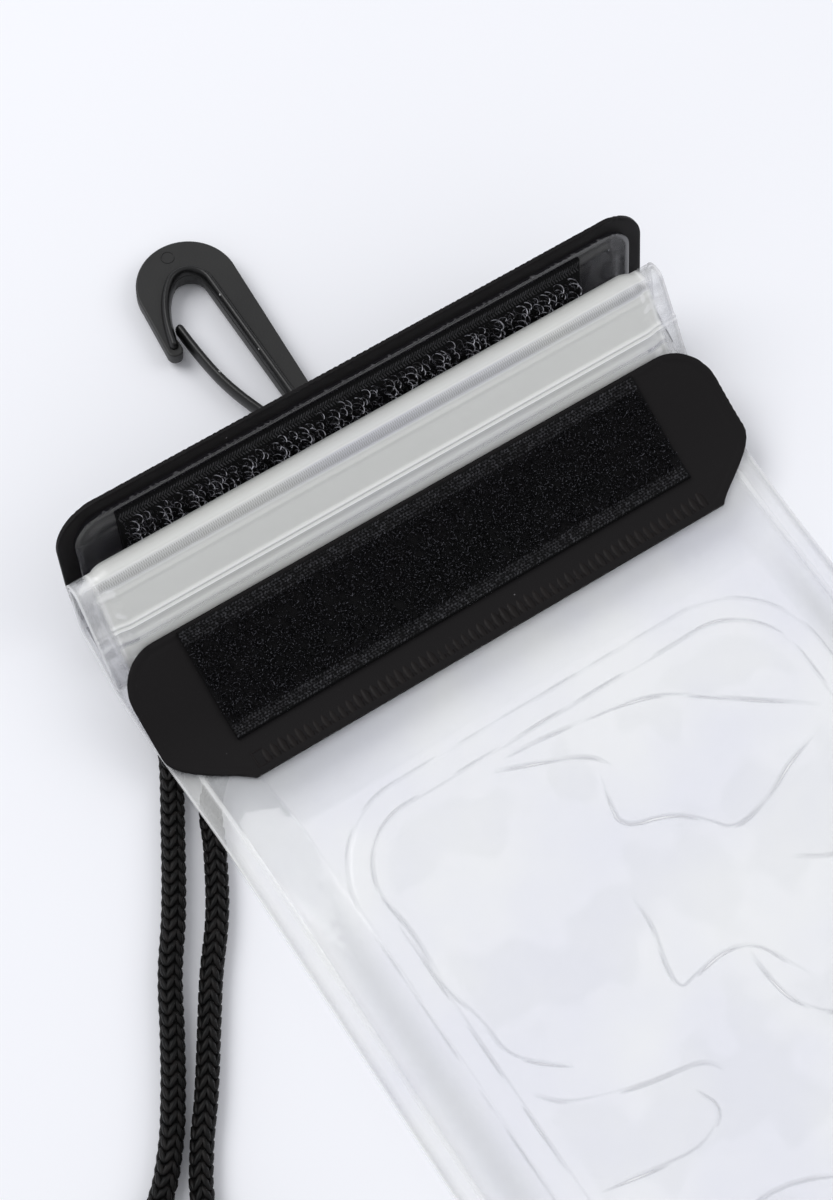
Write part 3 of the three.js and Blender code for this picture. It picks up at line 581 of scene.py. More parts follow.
def coil_points():
    angles, radii, heights = (np.array(c, float) for c in zip(*COIL_STEPS))
    count = int((angles[-1] - angles[0]) / COIL_STEP_DEGREES)
    made = []
    for angle in np.linspace(angles[0], angles[-1], count + 1)[1:]:
        radius = np.interp(angle, angles, radii)
        turned = math.radians(angle)
        made.append((COIL_MIDDLE[0] + radius * math.cos(turned), COIL_MIDDLE[1] + radius * math.sin(turned),
                     float(np.interp(angle, angles, heights))))
    return made


def cord_curve(name, points, radius):
    data = bpy.data.curves.new(name, "CURVE")
    data.dimensions = "3D"
    data.resolution_u = 8
    data.bevel_depth = radius * MM
    data.bevel_resolution = 3
    data.use_fill_caps = True
    spline = data.splines.new("BEZIER")
    spline.bezier_points.add(len(points) - 1)
    for knot, point in zip(spline.bezier_points, place(points)):
        knot.co = point
        knot.handle_left_type = knot.handle_right_type = "AUTO"
    return new_object(name, data)


cord_points = STRAND_OUT + coil_points() + STRAND_BACK[::-1]
neck_cord = cord_curve("neck_cord", cord_points, CORD_CORE_RADIUS)
route = cord_curve("stitch_route", cord_points, 0.0)
cord_stitches = grown(route, stitches_tree(), "cord_stitches", {
    "Stitch Pitch": 1.95 * MM, "Stitch Length": 3.1 * MM, "Stitch Width": 1.18 * MM,
    "Stitch Height": 1.15 * MM, "Lean": 0.46, "Ring Radius": 1.44 * MM, "Columns": 4}, CORD_BRAID)
dressed(cord_stitches, CORD_BRAID)
dressed(neck_cord, CORD_CORE, ("cord_strand_out", "cord_strand_back", "cord_coil"))


# Main sizes, as in the part's source. The shoulder's rounding is the scene's own.
HALF_WIDTH = 55.6
NECK_WIDER = 0.8
BODY_LENGTH = 185.0
BODY_CORNER = 11.0
FILM = 0.4
SIDE_WELD = 3.4
END_WELD = 5.0
WELD_GAP = 0.15
BELLY = 1.6
FRONT_LEVEL = 8.3
SIDE_RISE = 8.0
END_RISE = 14.0
NECK_RISE = 2.2
SHOULDER_ROUNDING = 0.08
NECK_GAP = 0.75
NECK_OPENING = 8.0
LIFT_ANGLE, LIFT_RADIUS, LIFT_LENGTH = math.radians(3.3), 300.0, 65.0
PUFF_END, PUFF_FALL = -13.0, 11.0
BELLY_END, BELLY_FALL = -12.0, 28.0
NECK_START = 21.5
REAR_ANGLE, REAR_RADIUS, REAR_RUN = math.radians(24), 6.0, 9.6
RISER_ANGLE, RISER_RADIUS, RISER_SPARE = math.radians(47), 3.0, 0.6
FOLD_ANGLE, FOLD_RADIUS = math.radians(161.3), 2.0
ZIP_WIDTH, ZIP_MARGIN, ZIP_SPACING, FOLD_MARGIN = 7.4, 0.3, 0.9, 1.1
ZIP_BEAD_AT, ZIP_BEAD_OFF = 6.2, 0.42
ZIP_HALF_LENGTH = 49.6
WINDOW_HALF_WIDTH, WINDOW_TOP, WINDOW_LENGTH = 40.2, -18.4, 148.0
WINDOW_CORNER = 12.0
RING_WIDTH = 4.0
TAPE = 0.9
TAPE_WIDTH = 20.0
TAPE_HALF_LENGTH = 44.5
TOUCH = 0.1


class Path:
    """A line in the y-z plane, walked as straight runs and round turns. A left turn is positive."""

    def __init__(self, y, z, heading, steps):
        self.pieces = []
        self.length = 0.0
        for turn, radius in steps:
            run = abs(turn) * radius if turn else radius
            self.pieces.append((self.length, turn, radius, y, z, heading))
            y, z, heading = self._on(self.pieces[-1], run)
            self.length += run

    @staticmethod
    def _on(piece, run):
        _, turn, radius, y, z, heading = piece
        if not turn:
            return y + run * math.cos(heading), z + run * math.sin(heading), heading
        side = math.copysign(1, turn)
        turned = heading + side * run / radius
        return (y + side * radius * (math.sin(turned) - math.sin(heading)),
                z - side * radius * (math.cos(turned) - math.cos(heading)), turned)

    def at(self, s):
        piece = [p for p in self.pieces if p[0] <= s + 1e-9][-1] if s > 0 else self.pieces[0]
        return self._on(piece, s - piece[0])

    def point(self, s, x, rise):
        y, z, heading = self.at(s)
        return x, y - rise * math.sin(heading), z + rise * math.cos(heading)

    def turn(self, s):
        """The turn that lays x across, y along the path and z out of it."""
        return Matrix.Rotation(self.at(s)[2], 3, "X")


LINE = 0  # no turn: a straight run of the length that follows
lift_arc = LIFT_ANGLE * LIFT_RADIUS
pouch_path = Path(-BODY_LENGTH, BELLY + FILM, 0.0, [
    (LINE, BODY_LENGTH + BELLY_END - LIFT_LENGTH),
    (LIFT_ANGLE, LIFT_RADIUS),
    (LINE, LIFT_LENGTH - 2 * lift_arc),
    (-LIFT_ANGLE, LIFT_RADIUS),
    (LINE, NECK_START - BELLY_END),
    (REAR_ANGLE, REAR_RADIUS),
    (LINE, REAR_RUN),
    (RISER_ANGLE, RISER_RADIUS),
    (LINE, ZIP_WIDTH + 2 * ZIP_MARGIN + RISER_SPARE),
    (FOLD_ANGLE, FOLD_RADIUS),
    (LINE, FOLD_MARGIN + 2 * ZIP_WIDTH + ZIP_SPACING + ZIP_MARGIN),
])
rear_piece, riser_piece, folded_piece = (pouch_path.pieces[i] for i in (6, 8, 10))
REAR_FROM, FOLDED_FROM = rear_piece[0], folded_piece[0]
ZIP_STARTS = (riser_piece[0] + ZIP_MARGIN, FOLDED_FROM + FOLD_MARGIN,
              FOLDED_FROM + FOLD_MARGIN + ZIP_WIDTH + ZIP_SPACING)


def side_rise(s, x):
    """The film climbs from its side weld to a distinct shoulder."""
    in_neck = ease((s - BODY_LENGTH - PUFF_END - PUFF_FALL) / PUFF_FALL)
    width = SIDE_RISE + (NECK_RISE - SIDE_RISE) * in_neck
    share = np.clip((HALF_WIDTH - SIDE_WELD - np.abs(x)) / width, 0, 1)
    crisp = share - SHOULDER_ROUNDING * np.sin(math.pi * share) ** 2 * share
    return np.where(in_neck > 0.5, np.sin(math.pi / 2 * share), crisp)


def end_rise(s):
    return math.sin(math.pi / 2 * min(1.0, max(0.0, (s - END_WELD) / END_RISE)))


def open_neck(s):
    return WELD_GAP + (NECK_GAP - WELD_GAP) * float(ease((s - REAR_FROM) / NECK_OPENING))


def front_gap(s, x):
    full = FRONT_LEVEL - FILM - pouch_path.at(min(s, BODY_LENGTH))[1]
    puffed = end_rise(s) * (1 - float(ease((s - BODY_LENGTH - PUFF_END) / PUFF_FALL)))
    middle = open_neck(s) + (full - open_neck(s)) * puffed
    return WELD_GAP + (middle - WELD_GAP) * side_rise(s, x)


def back_gap(s, x):
    puffed = end_rise(s) * float(ease((BODY_LENGTH + BELLY_END - s) / BELLY_FALL))
    middle = open_neck(s) + (BELLY - open_neck(s)) * puffed
    return WELD_GAP + (middle - WELD_GAP) * side_rise(s, x)


def rounded_half_width(half_width, radius, distance):
    if distance >= radius:
        return half_width
    d = max(0.0, radius - distance)
    return half_width - radius + math.sqrt(max(0.0, radius * radius - d * d))


def film_half_width(s):
    extra = NECK_WIDER * float(ease((s - BODY_LENGTH - PUFF_END) / (NECK_START - PUFF_END)))
    return rounded_half_width(HALF_WIDTH, BODY_CORNER, s) + extra


def ring_distance(x, y):
    """How far a point on the front lies outside the window's edge; inside it is negative."""
    middle = WINDOW_TOP - WINDOW_LENGTH / 2
    dx = np.abs(x) - (WINDOW_HALF_WIDTH - WINDOW_CORNER)
    dy = np.abs(y - middle) - (WINDOW_LENGTH / 2 - WINDOW_CORNER)
    outside = np.hypot(np.maximum(dx, 0), np.maximum(dy, 0))
    return outside + np.minimum(np.maximum(dx, dy), 0) - WINDOW_CORNER


# Creases where the window's film clings to the layer below: given routes, with a height
# and a half width for each
CREASES = [
    ([(-40, -29), (-39, -38), (-40, -46), (-38, -55), (-38, -61), (-34, -65), (-30, -68)], 0.34, 0.75),
    ([(-38, -68), (-35, -72), (-30, -74), (-24, -76), (-19, -77), (-13, -78), (-11, -81)], 0.4, 0.85),
    ([(-14, -21), (-6, -24), (1, -27), (3, -31)], 0.26, 0.7),
    ([(1, -30), (-1, -35), (-2, -40), (6, -42), (10, -46), (13, -50), (21, -48), (27, -45), (34, -43)],
     0.42, 0.9),
    ([(-7, -50), (-7, -55), (-9, -61), (-10, -67), (-6, -66), (0, -65), (5, -67), (7, -72), (9, -76)],
     0.3, 0.8),
    ([(-11, -20), (0, -21), (13, -23), (19, -26), (27, -32), (38, -40)], 0.3, 0.8),
    ([(3, -67), (3, -72), (4, -78), (8, -83), (16, -86)], 0.34, 0.8),
    ([(-38, -86), (-33, -87), (-28, -88), (-21, -89), (-15, -86), (-17, -81)], 0.3, 0.75),
    ([(18, -58), (24, -62), (31, -61), (38, -66)], 0.26, 0.8),
    ([(-30, -104), (-18, -99), (-6, -103), (4, -112), (18, -110), (30, -118)], 0.3, 0.9),
    ([(34, -92), (24, -98), (14, -97)], 0.26, 0.8),
    ([(-34, -128), (-22, -133), (-10, -130), (2, -138), (12, -147)], 0.28, 0.9),
    ([(38, -132), (28, -136), (18, -133), (10, -126)], 0.28, 0.85),
]


def stepped(line, places):
    """Points of a line at the places that `places` gives for its whole length."""
    walked = np.r_[0, np.cumsum(np.hypot(*np.diff(line, axis=0).T))]
    return np.column_stack([np.interp(places(walked[-1]), walked, line[:, i]) for i in (0, 1)])


def eased_route(points, step=0.5):
    """A given route rounded by two passes of corner cutting and put at even steps."""
    line = np.array(points, float)
    for _ in range(2):
        near = 0.75 * line[:-1] + 0.25 * line[1:]
        far = 0.25 * line[:-1] + 0.75 * line[1:]
        line = np.vstack([line[:1], np.stack([near, far], 1).reshape(-1, 2), line[-1:]])
    return stepped(line, lambda length: np.arange(0, length, step))


crease_lines = [(eased_route(points), height, width) for points, height, width in CREASES]


def crease_field(x, y):
    """Height of the film's creases."""
    height = np.zeros_like(x)
    for line, tall, width in crease_lines:
        near = (x > line[:, 0].min() - 4) & (x < line[:, 0].max() + 4)
        if not near.any() or y < line[:, 1].min() - 4 or y > line[:, 1].max() + 4:
            continue
        gaps = np.hypot(x[near, None] - line[None, :, 0], y - line[None, :, 1])
        nearest = gaps.argmin(1)
        gap = gaps.min(1)
        share = nearest / (len(line) - 1)
        fade = np.clip(np.minimum(share, 1 - share) * 7, 0.15, 1)
        height[near] = np.maximum(height[near], 0.6 * tall * fade * bump(gap, 2 * width))
    return height


def film_noise(x, y, scale, seed):
    return np.array([noise.noise(Vector((a / scale, y / scale, seed))) for a in x])


def front_relief(s, x):
    """What stands up on the front film's level part: window ring, creases and soft waves."""
    y = pouch_path.at(s)[0]
    if s >= BODY_LENGTH + 2:
        return np.zeros_like(x)
    ring = ring_distance(x, y)
    strip = ease(ring / 1.2) * ease((RING_WIDTH - ring) / 1.2)
    inside = ease((-1.0 - ring) / 3.0)
    waves = 0.35 * film_noise(x, y, 26.0, 3.0) + 0.16 * film_noise(x, y, 11.0, 8.0)
    return 0.2 * strip + inside * (crease_field(x, y) + waves)


def neck_bumps(s):
    """The zips' double beads and edges press through the films of the neck."""
    total = 0.0
    for start in ZIP_STARTS:
        for at, height, width in (
                (ZIP_BEAD_AT - ZIP_BEAD_OFF, 0.3, 0.3), (ZIP_BEAD_AT + ZIP_BEAD_OFF, 0.3, 0.3),
                (0.3, 0.1, 0.4), (ZIP_WIDTH - 0.3, 0.1, 0.4)):
            total += height * float(bump(s - start - at, width))
    return total


def spread(stops):
    """Places from a list of (from, to, step)."""
    made = []
    for low, high, step in stops:
        count = max(1, round((high - low) / step))
        made += [low + (high - low) * i / count for i in range(count)]
    return made + [stops[-1][1]]


def shell_faces(count, across):
    """Faces of a closed shell: a lower grid of count rows, then the upper one, each across points wide."""
    top = across * count
    low = (np.arange(count - 1)[:, None] * across + np.arange(across - 1)[None, :]).ravel()
    faces = np.column_stack([low, low + across, low + across + 1, low + 1]).tolist()
    faces += np.column_stack([top + low, top + low + 1, top + low + across + 1, top + low + across]).tolist()
    left = np.arange(count - 1) * across
    right = left + across - 1
    faces += np.column_stack([left, top + left, top + left + across, left + across]).tolist()
    faces += np.column_stack([right, right + across, top + right + across, top + right]).tolist()
    near = np.arange(across - 1)
    far = near + (count - 1) * across
    faces += np.column_stack([near, near + 1, top + near + 1, top + near]).tolist()
    return faces + np.column_stack([far, top + far, top + far + 1, far + 1]).tolist()


UV_PER_MM = 0.01


def sheet(name, path, rows, columns, half_width, lower, upper, values=None, shift=0.0):
    """A closed sheet between two offsets from a path, like the part's own, with vertex values."""
    columns = np.asarray(columns, float)
    points, uv, extra = [], [], {key: [] for key in (values or {})}
    for layer in (lower, upper):
        for s in rows:
            x = columns * half_width(s)
            y, z, heading = path.at(s)
            rise = layer(s, x)
            points.append(np.column_stack([
                x + shift, y - rise * math.sin(heading), z + rise * math.cos(heading)]))
            uv.append(np.column_stack([x, np.full_like(x, s)]) * UV_PER_MM)
            for key in extra:
                extra[key].append(values[key](s, x))
    faces = shell_faces(len(rows), len(columns))
    joined = {key: np.concatenate(found) for key, found in extra.items()}
    return new_object(name, new_mesh(name, np.concatenate(points), faces, joined, np.concatenate(uv)))


# Films
def mirrored(places):
    return sorted({round(-p, 4) for p in places} | {round(p, 4) for p in places})


film_columns = np.array(mirrored(spread([
    (0.0, 28.0, 0.95), (28.0, 39.6, 0.62), (39.6, 45.0, 0.36), (45.0, 51.6, 0.8), (51.6, 52.8, 0.4),
    (52.8, 55.0, 1.1), (55.0, HALF_WIDTH, 0.3)]))) / HALF_WIDTH
film_rows = spread([
    (0.0, 2.0, 0.5), (2.0, 19.0, 1.2), (19.0, 149.0, 1.0), (149.0, 172.0, 0.62), (172.0, 206.5, 1.0),
    (206.5, REAR_FROM, 0.6), (REAR_FROM, pouch_path.length, 0.62)])
back_rows_of_film = spread([
    (0.0, 2.0, 0.5), (2.0, 206.5, 1.6), (206.5, REAR_FROM, 0.6), (REAR_FROM, FOLDED_FROM - 5.7, 0.4),
    (FOLDED_FROM - 5.7, FOLDED_FROM + 12.5, 0.15), (FOLDED_FROM + 12.5, pouch_path.length, 0.4)])
back_columns = np.array(mirrored(spread([
    (0.0, 44.0, 4.0), (44.0, 48.0, 0.8), (48.0, HALF_WIDTH, 0.28)]))) / HALF_WIDTH

# Marks along the folded neck, in millimetres from the fold's end. A band has its two borders and a
# strength, and a line has its place, half width and strength.
FROSTED_BANDS = [(-5.3, -1.2, 0.86), (0.12, 7.85, 1.0), (7.85, 9.9, 0.72), (10.6, 16.8, 0.85)]
# The bright lines are painted highlights on the zips' beads and edges
PAINTED_HIGHLIGHT_LINES = [(-1.2, 0.12, 0.3), (0.12, 0.13, 0.6), (6.88, 0.24, 0.5), (7.75, 0.2, 0.5), (9.9, 0.12, 0.3)]
# The dark lines are painted shade in the gaps and grooves of the zips
PAINTED_SHADE_LINES = [(7.32, 0.16, 0.45), (8.7, 0.7, 0.08), (-0.5, 0.6, 0.3), (10.25, 0.35, 0.3)]
HATCHED = (-1.15, 0.0, 1.0)
BAND_EDGE = 0.14
FROST_HALF_LENGTH = 53.8


def in_folded_neck(x):
    """1 in the neck's frosted part, and 0 beyond its ends."""
    return ease((FROST_HALF_LENGTH - np.abs(x)) / 0.8)


def crushed(s, x):
    """Crinkles where the zips' ends are crushed into the side welds: a height from -1 to 1."""
    at_end = ease((np.abs(x) - ZIP_HALF_LENGTH) / 1.4) * float(ease((s - REAR_FROM) / 6))
    return at_end * (film_noise(x * 0.45, s, 2.1, 41.0) + 0.4 * film_noise(x, s, 1.3, 47.0))


def edge_distance(s, x):
    return film_half_width(s) - np.abs(x)


def edge_painted_shade(s, x):
    """Painted shade: dark marks just inside the cut edges, beside each weld's inner border, and in the
    hollows of the crushed zip ends.
    """
    gap = edge_distance(s, x)
    marks = np.maximum(0.36 * bump(gap - 0.5, 0.3), 0.14 * bump(gap - SIDE_WELD - 0.55, 0.45))
    return np.maximum(marks, 0.16 * ease((-crushed(s, x) - 0.12) / 0.3))


def edge_gleam(s, x):
    """Painted highlights: the cut edges themselves, each weld's inner border, and the raised crinkles of the
    crushed zip ends.
    """
    gap = edge_distance(s, x)
    ends = min(s, pouch_path.length - s)
    marks = np.maximum(0.6 * bump(gap, 0.22), 0.5 * bump(gap - SIDE_WELD, 0.26))
    marks = np.maximum(marks, 0.6 * float(bump(ends, 0.3)))
    return np.maximum(marks, 0.4 * ease((crushed(s, x) - 0.2) / 0.25))


def banded(bands, s):
    """The strongest band at a place, with soft borders."""
    at = s - FOLDED_FROM
    return max(share * float(ease((at - low) / BAND_EDGE) * ease((high - at) / BAND_EDGE))
               for low, high, share in bands)


def lined(lines, s):
    """The strongest line at a place."""
    return max(share * float(bump(s - FOLDED_FROM - at, width)) for at, width, share in lines)


def painted_shade_mark(s, x):
    """Painted shade on the film's sloping side, between its weld and its shoulder, and the front flap's
    painted shadow where the film falls below it, on the body only.
    """
    gap = edge_distance(s, x) - SIDE_WELD
    fall = (s - BODY_LENGTH - PUFF_END) / PUFF_FALL
    side = bump(gap - 0.5 * SIDE_RISE, 0.32 * SIDE_RISE)
    by_flap = float(ease((s - BODY_LENGTH + 27) / 22))
    corner = 2.6 * ease(-x / 10.0) * ease(gap / 1.0) * ease((SIDE_RISE + 0.3 - gap) / 0.6)
    at_left = 0.3 + 0.5 * ease((-10.0 - x) / 34.0)
    fallen = min(1.0, max(0.0, fall / 0.05)) * (0.6 + 0.5 * min(1.0, max(0.0, fall)))
    end = at_left * fallen * ease(gap / 1.0)
    return (s < BODY_LENGTH + 3) * np.maximum(side * (1 - by_flap) + corner * by_flap, end)


def cling_mark(s, x):
    """Soft patches where the window's film clings to the layer below."""
    y = pouch_path.at(s)[0]
    patches = film_noise(x, y, 15.0, 71.0) + 0.5 * film_noise(x, y, 6.0, 77.0)
    return 0.26 * ease((-1.5 - ring_distance(x, y)) / 2.0) * ease((patches + 0.06) / 0.2)


def no_mark(s, x):
    return np.zeros_like(x)


def front_face(s, x):
    return front_gap(s, x) + front_relief(s, x) + neck_bumps(s)


def back_face(s, x):
    return -back_gap(s, x) - neck_bumps(s) - 0.07 * crushed(s, x)


front_film = sheet(
    "front_film_dressed", pouch_path, film_rows, film_columns, film_half_width,
    front_face, lambda s, x: front_face(s, x) + FILM,
    {"line": edge_painted_shade, "gleam": edge_gleam,
     "painted_shade_and_cling": lambda s, x: np.maximum(painted_shade_mark(s, x), cling_mark(s, x)),
     "frost": no_mark, "hatch": no_mark})
back_film = sheet(
    "back_film_dressed", pouch_path, back_rows_of_film, back_columns, film_half_width,
    lambda s, x: back_face(s, x) - FILM, back_face,
    {"line": lambda s, x: np.maximum(edge_painted_shade(s, x), in_folded_neck(x) * lined(PAINTED_SHADE_LINES, s)),
     "gleam": lambda s, x: np.maximum(edge_gleam(s, x), in_folded_neck(x) * lined(PAINTED_HIGHLIGHT_LINES, s)),
     "painted_shade_and_cling": no_mark,
     "frost": lambda s, x: in_folded_neck(x) * banded(FROSTED_BANDS, s),
     "hatch": lambda s, x: in_folded_neck(x) * banded([HATCHED], s)})
dressed(smooth_shaded(front_film), CLEAR_FILM, ["front_film"])
dressed(smooth_shaded(back_film), CLEAR_FILM, ["back_film"])

# Creases and the window ring's borders, each a fine strip of its own on the front film, with painted shade
# and a painted highlight along it
STRIP_ACROSS = np.array([-1.0, -0.7, -0.45, -0.25, -0.08, 0.1, 0.3, 0.55, 0.8, 1.0])
path_places = np.arange(0.0, BODY_LENGTH + 1, 1.0)
path_heights = np.array([pouch_path.at(s)[0] for s in path_places])


def ring_route(out):
    """The window's rounded outline, grown by out, as a closed route at even steps."""
    radius = WINDOW_CORNER + out
    wide, low = WINDOW_HALF_WIDTH - WINDOW_CORNER, WINDOW_TOP - WINDOW_LENGTH + WINDOW_CORNER
    high = WINDOW_TOP - WINDOW_CORNER
    corners = [(wide, high, 0), (-wide, high, 90), (-wide, low, 180), (wide, low, 270)]
    round_ends = [(x + radius * math.cos(a), y + radius * math.sin(a))
                  for x, y, start in corners for a in np.radians(np.linspace(start, start + 90, 13))]
    line = np.array(round_ends + round_ends[:1])
    return stepped(line, lambda length: np.linspace(0, length, int(length / 0.8)))


def film_strip(line, half, tall, darkness, brightness, closed, seed):
    """Points and marks of a strip along a route: painted shade a little to one side of its middle and a
    painted highlight a little to the other. It stands a little out of the film, most in its middle.
    """
    ahead = np.gradient(line, axis=0)
    ahead /= np.maximum(np.linalg.norm(ahead, axis=1), 1e-6)[:, None]
    share = np.linspace(0, 1, len(line))
    fade = np.ones(len(line)) if closed else np.clip(np.minimum(share, 1 - share) * 6, 0, 1)
    low, high, marks = [], [], []
    for (x, y), (dx, dy), part in zip(line, ahead, fade):
        uneven = noise.noise(Vector((x / 9, y / 9, seed))), noise.noise(Vector((x / 7, y / 7, seed + 5)))
        dark = darkness * part * min(1.0, max(0.1, 0.65 + 1.1 * uneven[0]))
        bright = brightness * part * min(1.0, max(0.0, 0.35 + 1.3 * uneven[1]))
        for across in STRIP_ACROSS:
            px, py = x - dy * across * half, y + dx * across * half
            s = float(np.interp(py, path_heights, path_places))
            column = np.array([px])
            rise = float(front_gap(s, column)[0] + front_relief(s, column)[0]) + FILM
            low.append(pouch_path.point(s, px, rise + 0.02))
            high.append(pouch_path.point(s, px, rise + 0.06 + tall * part * (1 - across * across) ** 2))
            marks.append((dark * float(bump(across - 0.22, 0.3)), bright * float(bump(across + 0.28, 0.22))))
    return low + high, marks + marks


def film_strips():
    """One strip on every crease, and one on each border of the window's ring."""
    strips = [(line, 0.8, 0.4 * tall, 0.72, 1.0, False, 10.0 + number)
              for number, (line, tall, _) in enumerate(crease_lines)]
    strips += [(ring_route(out), 0.75, 0.05, dark, bright, True, 60.0 + out)
               for out, dark, bright in ((0.0, 0.45, 0.7), (RING_WIDTH, 0.22, 0.4))]
    points, marks, faces = [], [], []
    for strip in strips:
        made, marked = film_strip(*strip)
        shell = shell_faces(len(strip[0]), len(STRIP_ACROSS))
        faces += [tuple(i + len(points) for i in face) for face in shell]
        points += made
        marks += marked
    line, gleam = np.array(marks).T
    return new_object("film_creases", new_mesh("film_creases", points, faces, {"line": line, "gleam": gleam}))


film_creases = film_strips()
dressed(smooth_shaded(film_creases, 60), FILM_CREASE)

# The zips are the part's own solids, in frosted plastic
for name in ("zip_1", "zip_2", "zip_3"):
    for part in ("rib_strip", "groove_strip"):
        strip = nodes[f"{name}_{part}"]
        strip.data.materials.clear()
        strip.data.materials.append(FROSTED_ZIP)


# Flaps
def thick_edge(distance, thickness):
    """Half thickness of a flap near its round edge, in millimetres."""
    reach = np.clip(distance / (0.8 * thickness), 0, 1)
    return thickness / 2 * (0.25 + 0.75 * np.sqrt(1 - (1 - reach) ** 2))


def outline_of(half_width, length):
    """Points round a flap's outline, as (x, s)."""
    s = np.linspace(0, length, int(length / 0.4) + 1)
    side = np.array([half_width(v) for v in s])
    right = np.column_stack([side, s])
    left = np.column_stack([-side, s])
    foot = np.column_stack([np.linspace(-side[0], side[0], 120), np.zeros(120)])
    top = np.column_stack([np.linspace(-side[-1], side[-1], 120), np.full(120, length)])
    return np.vstack([right, left, foot, top])


def flap_faces(distance, thickness, middle, raised=lambda s, x: 0.0):
    """A flap's lower and upper faces, with a round edge, about the given middle."""
    return (lambda s, x: middle - thick_edge(distance(s, x), thickness),
            lambda s, x: middle + thick_edge(distance(s, x), thickness) + raised(s, x))


def distance_to(outline):
    return lambda s, x: np.hypot(x[:, None] - outline[None, :, 0], s - outline[None, :, 1]).min(1)


FLAP_HALF_WIDTH, FLAP_WELD_HALF_WIDTH, FLAP_LENGTH = 57.1, 46.0, 27.6
FLAP_START, FLAP_THICK, FLAP_CORNER, FLAP_TAPER, FLAP_TAPER_POWER = -1.1, 0.7, 8.0, 10.5, 1.25
FLAP_SHIFT = 0.6
FLAP_ANGLE, FLAP_RADIUS, FLAP_WELD = math.radians(22.4), 30.0, 3.0
TAPE_MARGIN = 0.6
foot_y, foot_z, _ = pouch_path.at(BODY_LENGTH + FLAP_START)
flap_z = foot_z + float(front_gap(BODY_LENGTH + FLAP_START, np.zeros(1))[0]) + FILM + TOUCH
flap_path = Path(FLAP_START, flap_z, 0.0, [
    (LINE, FLAP_WELD), (FLAP_ANGLE, FLAP_RADIUS), (LINE, FLAP_LENGTH - FLAP_WELD - FLAP_ANGLE * FLAP_RADIUS)])


def flap_half_width(s):
    taper = math.sin(math.pi / 2 * min(1.0, s / FLAP_TAPER)) ** FLAP_TAPER_POWER
    widest = FLAP_WELD_HALF_WIDTH + taper * (FLAP_HALF_WIDTH - FLAP_WELD_HALF_WIDTH)
    return rounded_half_width(widest, FLAP_CORNER, FLAP_LENGTH - s)


flap_distance = distance_to(outline_of(flap_half_width, FLAP_LENGTH))


def flap_relief(s, x):
    """A pressed line along the flap's border, and slight waves in it."""
    gap = flap_distance(s, x)
    line = -0.1 * bump(gap - 1.5, 0.28) + 0.05 * bump(gap - 1.0, 0.3)
    return line + 0.05 * film_noise(x, s, 14.0, 21.0) * ease(gap / 3)


edge_columns = [1.0, 0.9985, 0.996, 0.992, 0.987, 0.98, 0.972, 0.963, 0.952]
flap_columns = mirrored(edge_columns + spread([(0.0, 0.94, 0.0098)]))
flap_rows = spread([(0.0, 0.6, 0.1), (0.6, 3.4, 0.35), (3.4, 19.0, 0.6), (19.0, 26.6, 0.35),
                    (26.6, 27.4, 0.12), (27.4, FLAP_LENGTH, 0.05)])
front_flap = sheet(
    "front_flap_dressed", flap_path, flap_rows, flap_columns, flap_half_width,
    *flap_faces(flap_distance, FLAP_THICK, FLAP_THICK / 2, flap_relief), shift=FLAP_SHIFT)
dressed(smooth_shaded(front_flap, 55), FLAP_COVER, ["front_flap"])

BACK_HALF_WIDTH, BACK_CORNER, BACK_THICK, BACK_SHIFT = 56.4, 8.0, 0.8, 1.3
LINING_THICK, LINING_INSET = 0.5, 2.8
BACK_FLAP_AT, BACK_RUN, BACK_ANGLE, BACK_RADIUS, BACK_HEIGHT = 28.4, 9.2, math.radians(56.9), 5.0, 17.4
rear_heading = rear_piece[5]
back_place = REAR_FROM + (BACK_FLAP_AT - rear_piece[3]) / math.cos(rear_heading)
foot_y, foot_z, _ = pouch_path.at(back_place)
back_drop = NECK_GAP + FILM + TOUCH + LINING_THICK + TOUCH
back_path = Path(foot_y + back_drop * math.sin(rear_heading), foot_z - back_drop * math.cos(rear_heading),
                 rear_heading, [(LINE, BACK_RUN), (BACK_ANGLE, BACK_RADIUS), (LINE, BACK_HEIGHT)])


def back_half_width(s):
    return rounded_half_width(BACK_HALF_WIDTH, BACK_CORNER, back_path.length - s)


LINING_TOP = back_path.length - LINING_INSET


def lining_half_width(s):
    return rounded_half_width(BACK_HALF_WIDTH - LINING_INSET, BACK_CORNER - LINING_INSET, LINING_TOP - s)


back_distance = distance_to(outline_of(back_half_width, back_path.length))
lining_distance = distance_to(outline_of(lining_half_width, LINING_TOP))


def back_rows(length):
    return spread([(0.0, 0.6, 0.2), (0.6, length - 9.0, 0.8), (length - 9.0, length - 1.0, 0.4),
                   (length - 1.0, length - 0.2, 0.13), (length - 0.2, length, 0.05)])


def lining_relief(s, x):
    """A pillow-like ridge follows the lining's border, and the film waves a little."""
    gap = lining_distance(s, x)
    up = ease((s - 12.0) / 5.0)
    ridges = 0.1 * bump(gap - 0.8, 0.6) + 0.1 * bump(gap - 3.3, 0.9)
    return up * (ridges + 0.16 * film_noise(x, s, 11.0, 33.0) * ease(gap / 3))


back_flap = sheet(
    "back_flap_dressed", back_path, back_rows(back_path.length), flap_columns, back_half_width,
    *flap_faces(back_distance, BACK_THICK, -BACK_THICK / 2), shift=BACK_SHIFT)
dressed(smooth_shaded(back_flap, 55), FLAP_COVER, ["back_flap"])
lining = sheet(
    "back_flap_lining_dressed", back_path, back_rows(LINING_TOP), flap_columns, lining_half_width,
    lambda s, x: np.full_like(x, 0.02),
    flap_faces(lining_distance, LINING_THICK, TOUCH + LINING_THICK / 2, lining_relief)[1], shift=BACK_SHIFT)
dressed(smooth_shaded(lining, 55), LINING, ["back_flap_lining"])


